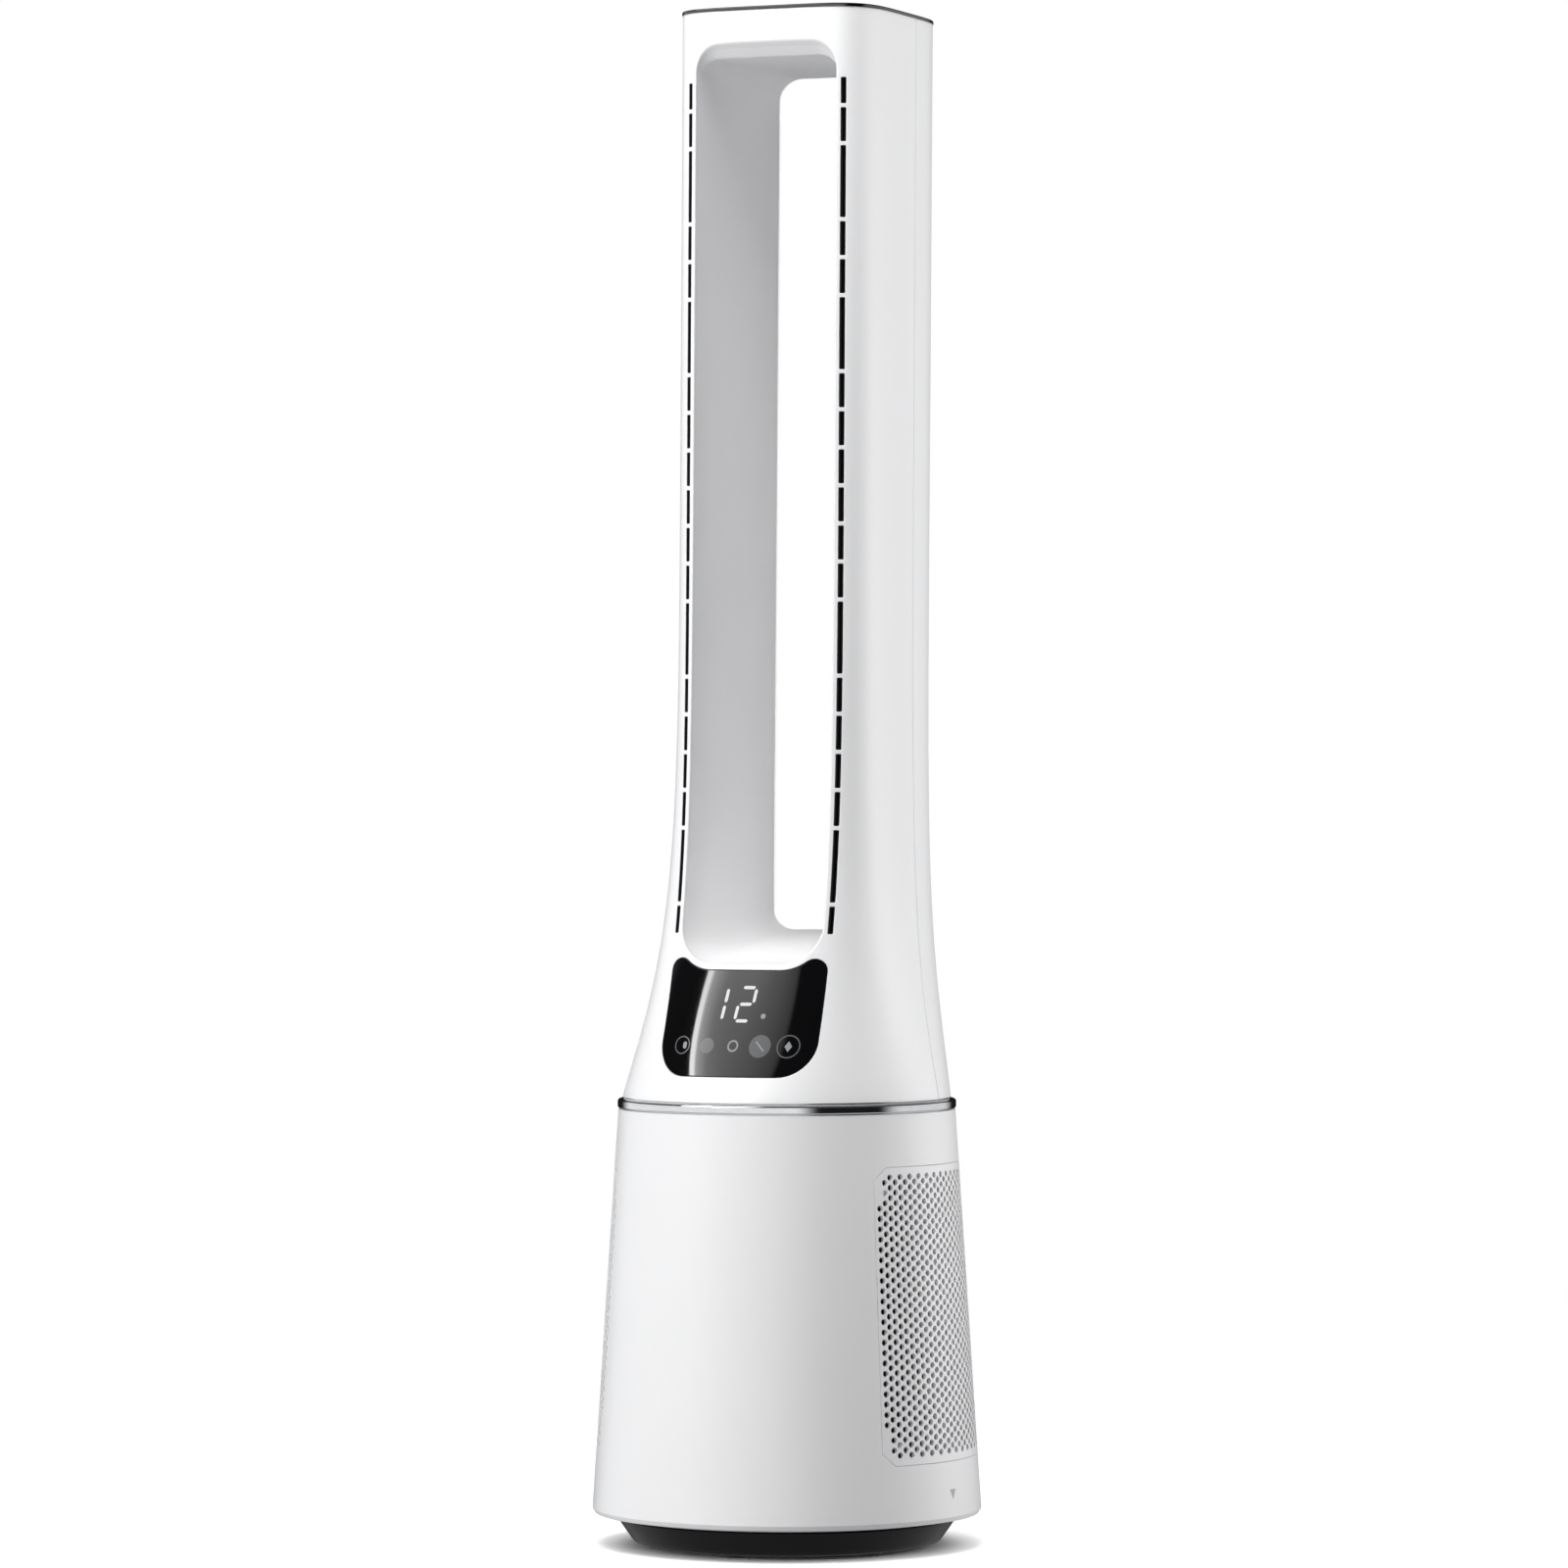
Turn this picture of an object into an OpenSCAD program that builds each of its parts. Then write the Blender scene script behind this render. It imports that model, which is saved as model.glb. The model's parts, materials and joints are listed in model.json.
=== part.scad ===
// Bladeless tower fan: a hollow loop column on a round body that turns on a dished base.
// Frame: origin on the swivel axis at floor level, +Z up, the front faces -Y.

/* [Overall] */
// Height of the whole fan
total_h = 1000; // [900:5:1100]
// Radius of the lower body at its foot
body_foot_r = 127; // [122:1:132]
// Radius of the lower body under the trim ring
body_top_r = 110; // [106:1:114]
// Height where the lower body meets the trim ring
body_top_z = 284; // [280:1:290]

/* [Column] */
// Half width of the column above the flare
col_half_w = 70; // [66:1:74]
// Radius of the column's foot on the trim ring
cowl_r = 107; // [105:0.5:107]
// Front of the column ahead of the axis, at the top
col_front_top = 38; // [34:1:44]
// Back of the column behind the axis, at the top
col_back_top = 111; // [106:1:114]
// Backward lean of the column, millimetres per millimetre
col_lean = 0.016; // [0:0.002:0.03]
// Height over which the flare dies away
flare_h = 85; // [70:1:100]
// How squarish the column is at the top, 2 being an ellipse
col_power = 4.7; // [3:0.1:6]
// Wall thickness of the column's shells
col_wall = 2.5; // [2:0.1:3.5]

/* [Loop opening] */
// Half width of the opening
open_half_w = 49.3; // [44:0.1:50]
// Top of the opening
open_top_z = 967.5; // [940:0.5:972]
// Floor of the opening at the front
open_floor_z = 380.3; // [370:0.1:390]
// Rise of the floor towards the back, millimetres per millimetre
open_floor_rise = 0.113; // [0:0.001:0.2]
// Corner radius at the top of the opening
open_corner_r = 15; // [8:1:20]
// Corner radius of the opening's floor at the front
open_front_r = 25; // [15:1:28]
// Corner radius of the opening's floor at the back
open_back_r = 12; // [8:1:20]

/* [Air slots] */
// Distance of each slot from the middle
slot_x = 54; // [53.5:0.1:55]
// Width of a slot
slot_w = 3.2; // [2:0.1:3.4]
// Lower end of the slots
slot_low_z = 399; // [395:1:405]
// Upper end of the slots
slot_high_z = 952; // [930:1:954]
// Distance between the ribs across a slot
rib_pitch = 24.56; // [20:0.1:30]
// Width of a rib
rib_w = 2.6; // [1.5:0.1:4]

/* [Display] */
// Half width of the glass
glass_half_w = 54.5; // [50:0.5:56]
// Lower edge of the glass
glass_low_z = 308; // [304:1:315]
// Width of the white rim between the glass and the opening
glass_rim = 3.7; // [3:0.1:6]
// Thickness of the glass
glass_t = 2.2; // [1.5:0.1:3]

/* [Intake covers] */
// Half angle that a cover spans about the side of the body
cover_half_angle = 37.5; // [34:0.5:40]
// Lower edge of a cover
cover_low_z = 60; // [56:1:70]
// Upper edge of a cover
cover_high_z = 250; // [240:1:252]
// Chamfer at a cover's corners
cover_chamfer = 8; // [4:1:20]
// Rows of air holes in a cover
hole_rows = 10; // [6:1:16]
// Columns of air holes in a cover
hole_columns = 9; // [5:2:13]
// Radius of an air hole
hole_r = 4.4; // [2:0.1:5]

/* [Base] */
// Radius of the dish at its rim
dish_rim_r = 111.5; // [108:0.5:112]
// Radius of the dish at its foot
dish_foot_r = 101; // [98:0.5:104]
// Height of the dish's rim
dish_rim_z = 18.4; // [18:0.1:18.6]
// Wall thickness of the dish
dish_wall = 3; // [2.5:0.1:4]

/* [Swivel gears] */
// Tooth module
gear_module = 1.5; // [1.5:0.5:1.5]
// Teeth of the fixed gear
sun_teeth = 60; // [60:1:60]
// Teeth of the drive pinion
pinion_teeth = 12; // [12:1:12]

/* [Fan] */
// Tip radius of the impeller
impeller_r = 74; // [68:1:75]
// Blades of the impeller
blade_count = 9; // [7:1:11]
// Vanes of the diffuser
vane_count = 11; // [7:1:13]

/* [Hidden] */
$fn = 96;
hull_fn = 32;
far = 200;            // reaches past the whole body from the axis
sliver = 0.1;         // thickness of the plates that a hull spans
fit_gap = 0.2;        // gap round a piece that drops into another
touch = 0.05;         // gap between curved faces that rest on each other

ring_h = 7.5;                              // trim ring
col_low_z = body_top_z + ring_h;
trim_h = 2.2;                              // rim of the top cap
col_high_z = total_h - trim_h;
section_points = 60;
slice_count = 18;
slice_ease = 1.7;                          // packs the slices towards the flare
seam_back = 16;                            // seam behind the column's widest line
seam_gap = 0.4;
floor_mark_y = -60;                        // where open_floor_z is taken
front_mark_y = -68;                        // front and back ends of the opening's floor
back_mark_y = 112;
bevel_h = 9;                               // bevel over the loop opening
bevel_depth = 9;
bevel_reach = 40;                          // how far down from the opening's top the cutter starts
bevel_lead = 8;                            // how far the bevel's cutter starts ahead of the face
liner_t = 1.8;
flange_h = 5;                              // flange inside the column's foot
flange_r = 96.5;
column_screw_r = 100.5;

body_wall = 2.5;
lip_z = 19.2;                              // underside of the body's inturned lip
lip_r = 112.8;
foot_z = 24;                               // where the body starts to turn in
ledge_r = 102;                             // ledge that stands on the turntable
ledge_t = 4;
shelf_low_z = 274.5;                       // shelf that carries the column
shelf_t = 5.5;
shelf_r = 84;
shelf_screw_r = 88;
shell_screw_r = 107;
shell_screw_count = 8;

turntable_z = 19.6;
turntable_t = 3;
turntable_r = 112.5;
hub_top_z = 27.5;
hub_r = 24;

spindle_r = 16;
spindle_bore_r = 11;
dish_floor_z = 4.5;
gear_z = 10.5;
gear_t = 5;
sun_pitch_r = gear_module * sun_teeth / 2;
pinion_x = gear_module * (sun_teeth + pinion_teeth) / 2;
pinion_shaft_r = 2.5;
ball_r = 3;
ball_ring_r = 86;
ball_z = 16;
ball_count = 20;
ball_play = 0.03;

foot_count = 6;
foot_ring_r = 86;
foot_r = 9;
foot_h = 3;
gland_y = 104.5;                           // flat seat of the gland on the dish
gland_z = 8.4;
gland_bore_r = 3.6;
gland_sleeve_r = 5;
cable_way_w = 8;

bay_low_z = 48;                            // underside of the filter bay's floor
bay_high_z = 252;                          // top of the filter bay's roof
bay_t = 3;
bay_half_y = 60;
bay_r = 104;
post_ring = [72, 58];
filter_low_z = 66;
filter_high_z = 240;
filter_half_y = 53;
filter_x = 66;                             // inner face of a filter
filter_t = 24;
filter_border = 6;
pleat_count = 24;
tab_w = 22;                                // pull tab on a filter
tab_h = 34;
tab_t = 0.6;
peg_y = 60;
peg_z = [72, 234];
peg_r = 2.5;
peg_tip_x = 81;
peg_socket_x = 89;
rail_t = 3;                                // rails that carry a filter
harness_y = -88;                           // the harness rises in front of the filter bay
harness_r = 2.3;
harness_low_z = 41;
harness_high_z = 309;
harness_bend = 45;                         // leans back to the plug behind the board
elbow_r = 8;

housing_r = 80;                            // outside of the fan housing
housing_low_z = 254;
housing_t = 2.5;
lug_ring_r = 86;
impeller_low_z = 258;
impeller_high_z = 292;
motor_r = 31;
motor_low_z = 294;
motor_body_h = 24;
diffuser_high_z = 312;
mount_h = 5;
shaft_r = 3;

// ---------- column shape ----------

// Share of the flare that is left at a height: 1 on the ring, 0 far above it
function flare(z) = z <= col_low_z ? 1 : exp(-pow((z - col_low_z) / flare_h, 1.15));
function blend(z, foot, top) = foot * flare(z) + top * (1 - flare(z));
function lean(z) = (col_high_z - z) * col_lean;
function col_half(z) = blend(z, cowl_r, col_half_w);
function col_front(z) = blend(z, cowl_r, col_front_top + lean(z));
function col_back(z) = blend(z, cowl_r, col_back_top - lean(z));
function col_mid(z) = (col_back(z) - col_front(z)) / 2;
function col_n(z) = col_power - (col_power - 2) * sqrt(flare(z));
function signed_pow(v, p) = sign(v) * pow(abs(v), p);

// Outline of the column at a height, moved inwards by inset
function section(z, inset) = [for (i = [0:section_points - 1])
    let (t = 360 * i / section_points, p = 2 / col_n(z), deep = (col_front(z) + col_back(z)) / 2)
    [(col_half(z) - inset) * signed_pow(cos(t), p), col_mid(z) + (deep - inset) * signed_pow(sin(t), p), z]];

// Front face of the column at a distance x from the middle
function front_y(z, x, inset = 0) = let (deep = (col_front(z) + col_back(z)) / 2)
    col_mid(z) - (deep - inset) * pow(1 - pow(x / (col_half(z) - inset), col_n(z)), 1 / col_n(z));

function slice_z(i, low, high) = low + (high - low) * pow(i / slice_count, slice_ease);
function ring_face(first) = [for (i = [0:section_points - 1]) first + i];

// Solid of the column from low to high, moved inwards by inset
module column_solid(inset, low = col_low_z, high = col_high_z) {
    for (i = [0:slice_count - 1])
        hull() polyhedron(
            points = concat(section(slice_z(i, low, high), inset), section(slice_z(i + 1, low, high), inset)),
            faces = [ring_face(0), ring_face(section_points)]);
}

// Extrudes a side outline, drawn as [y, z], across the width
module across(width) rotate([90, 0, 90]) linear_extrude(width, center = true) children();

function seam_y(z) = col_mid(z) + seam_back * (1 - flare(z));
seam_steps = 15;
seam_line = [for (i = [0:seam_steps])
    let (z = col_low_z - 1.3 + (col_high_z - col_low_z + 2.9) * pow(i / seam_steps, 1.6)) [seam_y(z), z]];

module front_side() across(2 * far) polygon(concat(
    [for (p = seam_line) [p[0] - seam_gap / 2, p[1]]], [[-far, col_high_z + 1], [-far, col_low_z - 1]]));
module rear_side() across(2 * far) polygon(concat(
    [for (p = seam_line) [p[0] + seam_gap / 2, p[1]]], [[far, col_high_z + 1], [far, col_low_z - 1]]));

// Floor of the opening and the radius of its corners at a distance y from the axis
function floor_z(y) = open_floor_z + open_floor_rise * (y - floor_mark_y);
function floor_r(y) = open_front_r
    + (open_back_r - open_front_r) * (y - front_mark_y) / (back_mark_y - front_mark_y);

// Upright plate in the loop opening's shape, standing at y and wider by grow
module opening_plate(y, grow) {
    for (side = [-1, 1], corner = [[floor_r(y), floor_z(y) + floor_r(y)],
            [open_corner_r, open_top_z - open_corner_r]])
        translate([side * (open_half_w - corner[0]), y, corner[1]]) rotate([90, 0, 0])
            cylinder(r = corner[0] + grow, h = sliver, center = true, $fn = hull_fn);
}

// The space of the loop opening, from front to back
module opening(grow) hull() {
    opening_plate(-95, grow);
    opening_plate(125, grow);
}

// Upright plate in the shape of the opening's top, higher by lift and wider by grow
module top_plate(y, grow, lift) {
    for (side = [-1, 1])
        translate([side * (open_half_w - open_corner_r), y, open_top_z - open_corner_r + lift])
            rotate([90, 0, 0]) cylinder(r = open_corner_r + grow, h = sliver, center = true, $fn = hull_fn);
    translate([-open_half_w - grow, y - sliver / 2, open_top_z - bevel_reach])
        cube([2 * (open_half_w + grow), sliver, 1]);
}

// Bevel over the loop opening
module opening_bevel(grow) hull() {
    top_plate(-col_front_top - bevel_lead, grow, bevel_h * (1 + bevel_lead / bevel_depth));
    top_plate(-col_front_top + bevel_depth, grow, 0);
}

// Ends of the dashes that a slot is divided into: every rib but four, from the top down
skipped_ribs = [2, 6, 14, 20];
first_rib_z = slot_high_z - 18.3;
rib_list = [for (i = [0:21]) if (len(search(i, skipped_ribs)) == 0) first_rib_z - i * rib_pitch];
dash_tops = concat([slot_high_z], [for (z = rib_list) z - rib_w / 2]);
dash_feet = concat([for (z = rib_list) z + rib_w / 2], [slot_low_z]);

module slots() for (side = [-1, 1], i = [0:len(dash_tops) - 1])
    translate([side * slot_x - slot_w / 2, -far, dash_feet[i]])
        cube([slot_w, far, dash_tops[i] - dash_feet[i]]);

// Outline of the display glass from the front, moved outwards by grow
module glass_outline(grow) {
    tip_r = 8;
    foot_corner_r = 22;
    corner_z = floor_z(front_mark_y) + open_front_r;
    offset(delta = grow) offset(r = tip_r) offset(delta = -tip_r) difference() {
        hull() for (side = [-1, 1]) {
            translate([side * (glass_half_w - foot_corner_r), glass_low_z + foot_corner_r])
                circle(foot_corner_r, $fn = 64);
            translate([side * glass_half_w - 1, corner_z - 1]) square([2, 1]);
        }
        hull() for (side = [-1, 1], z = [corner_z, corner_z + 40])
            translate([side * (open_half_w - open_front_r), z]) circle(open_front_r + glass_rim, $fn = 64);
    }
}

// Block behind a front outline, from the front back to the axis
module behind_outline() rotate([90, 0, 0]) linear_extrude(far) children();

// Inturned flange at the column's foot, drilled for the screws that come up through the trim ring
module foot_flange() difference() {
    hull() polyhedron(
        points = concat(section(col_low_z, 1), section(col_low_z + flange_h, 1)),
        faces = [ring_face(0), ring_face(section_points)]);
    translate([0, 0, col_low_z - 1]) cylinder(r = flange_r, h = flange_h + 2);
    for (i = [0:5]) rotate(60 * i + 30) translate([column_screw_r, 0, col_low_z - 1])
        cylinder(r = 1.85, h = flange_h + 2, $fn = hull_fn);
}

module column_walls() {
    difference() {
        column_solid(0);
        column_solid(col_wall, col_low_z - 1, col_high_z + 1);
    }
    foot_flange();
}

module column_front_shell() color("white") difference() {
    intersection() {
        column_walls();
        front_side();
    }
    opening(0);
    opening_bevel(0);
    slots();
    behind_outline() glass_outline(fit_gap);
}

module column_rear_shell() color("white") difference() {
    intersection() {
        column_walls();
        rear_side();
    }
    opening(0);
}

// Screws from below the shelf, through the trim ring, into both shells
module column_screws() color("silver") for (i = [0:5]) rotate(60 * i + 30)
    translate([column_screw_r, 0, shelf_low_z]) {
        cylinder(r = 1.8, h = col_low_z + flange_h - 1 - shelf_low_z);
        translate([0, 0, -2.4]) cylinder(r = 3.4, h = 2.4);
    }

// Inner wall of the loop, from shell to shell
module loop_liner() color("gainsboro") intersection() {
    difference() {
        union() {
            opening(liner_t);
            opening_bevel(liner_t);
        }
        opening(0);
        opening_bevel(0);
    }
    column_solid(col_wall + touch, open_floor_z - 20, col_high_z);
}

// Roof-shaped splitter under the loop's floor, which turns the rising air into its two sides
module flow_splitter() color("gainsboro") {
    low_y = -40;
    long = 128;
    half = open_half_w - floor_r(low_y) - 0.5;
    translate([0, low_y, floor_z(low_y) - liner_t - touch])
        rotate([90 - atan(open_floor_rise), 0, 180]) linear_extrude(long)
            polygon([[0, -32], [half, -6], [half, 0], [-half, 0], [-half, -6]]);
}

// Channel that guides the air out of a slot
module nozzle(side) color("dimgray") {
    wall = slot_x - slot_w / 2 - open_half_w - liner_t;
    depth = 15;
    end = 2;
    steps = [for (i = [0:12]) slot_low_z - end + (slot_high_z - slot_low_z + 2 * end) * i / 12];
    outline = concat([for (z = steps) [front_y(z, slot_x) - 6, z]],
        [for (i = [12:-1:0]) [front_y(steps[i], slot_x) + depth, steps[i]]]);
    intersection() {
        column_solid(col_wall + touch, slot_low_z - 10, col_high_z);
        translate([side * slot_x, 0, 0]) difference() {
            across(slot_w + 2 * wall) polygon(outline);
            translate([-slot_w / 2, -far, slot_low_z]) cube([slot_w, 2 * far, slot_high_z - slot_low_z]);
        }
    }
}
module left_nozzle() nozzle(-1);
module right_nozzle() nozzle(1);

module display_glass() color([0.05, 0.05, 0.06]) intersection() {
    difference() {
        column_solid(0, col_low_z, 400);
        column_solid(glass_t, col_low_z - 1, 401);
    }
    behind_outline() glass_outline(0);
}

// The board, its light module and the receiver lean back behind the glass
board_lean = 24;
board_low_z = 324;
board_behind = 12;                         // board's front face behind the glass at its lower edge
board_w = 80;
board_h = 46;
board_t = 1.6;
led_w = 48;
led_h = 24;
led_t = 5;
led_up = 18;                               // up the board from its lower edge
module on_board() translate([0, board_behind - col_front(board_low_z), board_low_z])
    rotate([-board_lean, 0, 0]) children();

module display_board() color("darkgreen") on_board() difference() {
    translate([-board_w / 2, 0, 0]) cube([board_w, board_t, board_h]);
    for (x = [-36, 36], z = [4, board_h - 4])
        translate([x, -1, z]) rotate([-90, 0, 0]) cylinder(r = 1.6, h = 4);
}
module led_module() color("black") on_board() translate([-led_w / 2, -led_t, led_up])
    cube([led_w, led_t, led_h]);
module ir_receiver() color([0.15, 0.1, 0.1]) on_board() translate([29, -3, 24]) {
    cube([5, 3, 6]);
    translate([2.5, 0, 3]) rotate([90, 0, 0]) cylinder(r = 1.8, h = 1.2);
}

// Frame between the glass and the board, open round the lights and the touch fields
module display_carrier() color("dimgray") intersection() {
    column_solid(glass_t + touch, col_low_z, 400);
    on_board() difference() {
        translate([-board_w / 2 - 3, -30, 0]) cube([board_w + 6, 30, board_h]);
        translate([-led_w / 2 - 1, -40, led_up - 1]) cube([led_w + 2, 41, led_h + 2]);
        translate([28, -40, 23]) cube([7, 41, 8]);
        for (x = [-37, -18.5, 0, 18.5, 37]) translate([x, -40, 8]) rotate([-90, 0, 0])
            cylinder(r = 7, h = 41, $fn = 24);
    }
}

// Plate in the column's outline, moved inwards by inset
module column_plate(inset, low, high) translate([0, 0, low]) linear_extrude(high - low)
    polygon([for (p = section(col_high_z, inset)) [p[0], p[1]]]);

module top_trim() color("silver") difference() {
    column_plate(-0.5, col_high_z, total_h);
    column_plate(3, col_high_z - 1, total_h + 1);
}
module top_cap() color("white") {
    ledge = 2.2;
    column_plate(3 + 0.15, col_high_z - ledge, total_h - 0.5);
    column_plate(col_wall + 0.1, col_high_z - ledge, col_high_z);
}

// ---------- trim ring and collar ----------

ring_inner_r = 96;
module trim_ring() color("silver") difference() {
    rotate_extrude() polygon([
        [ring_inner_r, body_top_z], [body_top_r + 0.3, body_top_z], [body_top_r + 0.5, body_top_z + 2.2],
        [body_top_r - 0.3, body_top_z + 4.6], [body_top_r - 2, body_top_z + 6.6],
        [cowl_r + 0.3, body_top_z + ring_h], [ring_inner_r, body_top_z + ring_h]]);
    for (i = [0:5]) rotate(60 * i + 30) translate([column_screw_r, 0, body_top_z - 1])
        cylinder(r = 2.1, h = ring_h + 2);
}

// Seal ring between the fan housing, the shelf and the column's foot
module duct_collar() color("gainsboro") {
    low = shelf_low_z + shelf_t;
    flange_t = 2.5;
    difference() {
        rotate_extrude() polygon([
            [housing_r + 0.6, low], [ring_inner_r - 0.2, low], [ring_inner_r - 0.2, low + 16],
            [ring_inner_r - 2.4, low + 16], [ring_inner_r - 2.4, low + flange_t],
            [housing_r + 0.6, low + flange_t]]);
        for (i = [0:5]) rotate(60 * i) translate([shelf_screw_r, 0, low - 1]) cylinder(r = 2.1, h = 5);
        translate([0, harness_y, low - 1]) cylinder(r = harness_r + 1, h = 5);
    }
}
module collar_screws() color("silver") for (i = [0:5]) rotate(60 * i)
    translate([shelf_screw_r, 0, shelf_low_z + shelf_t]) {
        translate([0, 0, -shelf_t]) cylinder(r = 1.9, h = shelf_t + 2.5);
        translate([0, 0, 2.5]) cylinder(r = 3.2, h = 2.2);
    }

// ---------- lower body ----------

function body_r(z) = body_foot_r + (body_top_r - body_foot_r) * (z - foot_z) / (body_top_z - foot_z);

module body_wall_solid(low, high, t, out = 0) rotate_extrude() polygon([
    [body_r(low) + out, low], [body_r(high) + out, high], [body_r(high) - t, high], [body_r(low) - t, low]]);

// Side outline of a cover, as [y, z], moved outwards by grow
function cover_half(z) = body_r(z) * sin(cover_half_angle);
function cover_outline(grow) = let (c = cover_chamfer, low = cover_low_z, high = cover_high_z,
    right = [[cover_half(low) - c, low - grow], [cover_half(low) + grow, low + c],
        [cover_half(high) + grow, high - c], [cover_half(high) - c, high + grow]])
    concat(right, [for (i = [3:-1:0]) [-right[i][0], right[i][1]]]);

module cover_prism(side, grow) translate([side > 0 ? 0 : -far, 0, 0])
    rotate([90, 0, 90]) linear_extrude(far) polygon(cover_outline(grow));

// Cone with a ledge at its foot, a shelf at its top and a window on each side
module lower_shell() color("white") difference() {
    rotate_extrude() polygon([
        [body_top_r, body_top_z], [body_foot_r, foot_z], [body_foot_r - 1.6, foot_z - 3],
        [lip_r + 1, lip_z], [lip_r, lip_z + 0.4], [lip_r, turntable_z + turntable_t],
        [ledge_r, turntable_z + turntable_t], [ledge_r, turntable_z + turntable_t + ledge_t],
        [body_foot_r - 4.2, turntable_z + turntable_t + ledge_t],
        [body_r(shelf_low_z) - body_wall, shelf_low_z], [shelf_r, shelf_low_z],
        [shelf_r, shelf_low_z + shelf_t], [ring_inner_r, shelf_low_z + shelf_t], [ring_inner_r, body_top_z]]);
    for (side = [-1, 1]) cover_prism(side, 0.3);
    for (i = [0:5]) {
        rotate(60 * i) translate([shelf_screw_r, 0, shelf_low_z - 1]) cylinder(r = 1.95, h = shelf_t + 2);
        rotate(60 * i + 30) translate([column_screw_r, 0, shelf_low_z - 1]) cylinder(r = 1.95, h = 20);
    }
    for (i = [0:shell_screw_count - 1]) rotate(360 / shell_screw_count * (i + 0.5))
        translate([shell_screw_r, 0, turntable_z]) cylinder(r = 1.55, h = 20);
    translate([0, harness_y, shelf_low_z - 1]) cylinder(r = harness_r + 1, h = shelf_t + 2);
}
module shell_screws() color("silver") for (i = [0:shell_screw_count - 1])
    rotate(360 / shell_screw_count * (i + 0.5)) translate([shell_screw_r, 0, turntable_z]) {
        translate([0, 0, 0.2]) cylinder(r = 3, h = 1.4);
        translate([0, 0, 1.6]) cylinder(r = 1.5, h = turntable_t + ledge_t - 2);
    }

// Perforated side cover with four locating pegs
module cover(side) color("white") union() {
    difference() {
        intersection() {
            body_wall_solid(cover_low_z - 1, cover_high_z + 1, body_wall);
            cover_prism(side, 0);
        }
        for (row = [0:hole_rows - 1], column = [0:hole_columns - 1]) {
            pitch = (cover_high_z - cover_low_z - 24) / (hole_rows - 1);
            step = 2 * (cover_half_angle - 4.5) / (hole_columns - 1);
            z = cover_low_z + 12 + pitch * row + (column % 2) * pitch / 2;
            angle = step * column - cover_half_angle + 4.5;
            at_corner = abs(angle) > cover_half_angle - 9 && (z < cover_low_z + 18 || z > cover_high_z - 18);
            if (z < cover_high_z - 8 && !at_corner)
                rotate([0, 0, (side > 0 ? 0 : 180) + angle]) translate([80, 0, z]) rotate([0, 90, 0])
                    cylinder(r = hole_r, h = 60);
        }
    }
    for (y = [-peg_y, peg_y], z = peg_z) translate([side * peg_tip_x, y, z]) rotate([0, side * 90, 0])
        cylinder(r = peg_r, h = sqrt(pow(body_r(z) - body_wall + 0.4, 2) - peg_y * peg_y) - peg_tip_x);
}
module left_cover() cover(-1);
module right_cover() cover(1);

module filter_frame(side) color("whitesmoke") translate([side > 0 ? filter_x : -filter_x - filter_t, 0, 0])
    difference() {
        translate([0, -filter_half_y, filter_low_z])
            cube([filter_t, 2 * filter_half_y, filter_high_z - filter_low_z]);
        translate([-1, -filter_half_y + filter_border, filter_low_z + filter_border])
            cube([filter_t + 2, 2 * (filter_half_y - filter_border),
                filter_high_z - filter_low_z - 2 * filter_border]);
    }
module left_filter_frame() filter_frame(-1);
module right_filter_frame() filter_frame(1);

// Pleated sheet: a zigzag band, pulled up through the frame
module filter_media(side) color("ivory") {
    half_y = filter_half_y - filter_border;
    pitch = 2 * half_y / pleat_count;
    front = [for (i = [0:pleat_count]) [(i % 2 == 0 ? 2 : filter_t - 4.6), i * pitch - half_y]];
    back = [for (i = [pleat_count:-1:0]) [(i % 2 == 0 ? 4.6 : filter_t - 2), i * pitch - half_y]];
    translate([side * filter_x, 0, filter_low_z + filter_border]) mirror([side > 0 ? 0 : 1, 0, 0])
        linear_extrude(filter_high_z - filter_low_z - 2 * filter_border) polygon(concat(front, back));
}
module left_filter_media() filter_media(-1);
module right_filter_media() filter_media(1);

module filter_tab(side) color("steelblue")
    translate([side > 0 ? filter_x + filter_t : -filter_x - filter_t - tab_t, -tab_w / 2,
            filter_high_z - tab_h - 1])
        cube([tab_t, tab_w, tab_h]);
module left_filter_tab() filter_tab(-1);
module right_filter_tab() filter_tab(1);

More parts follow.
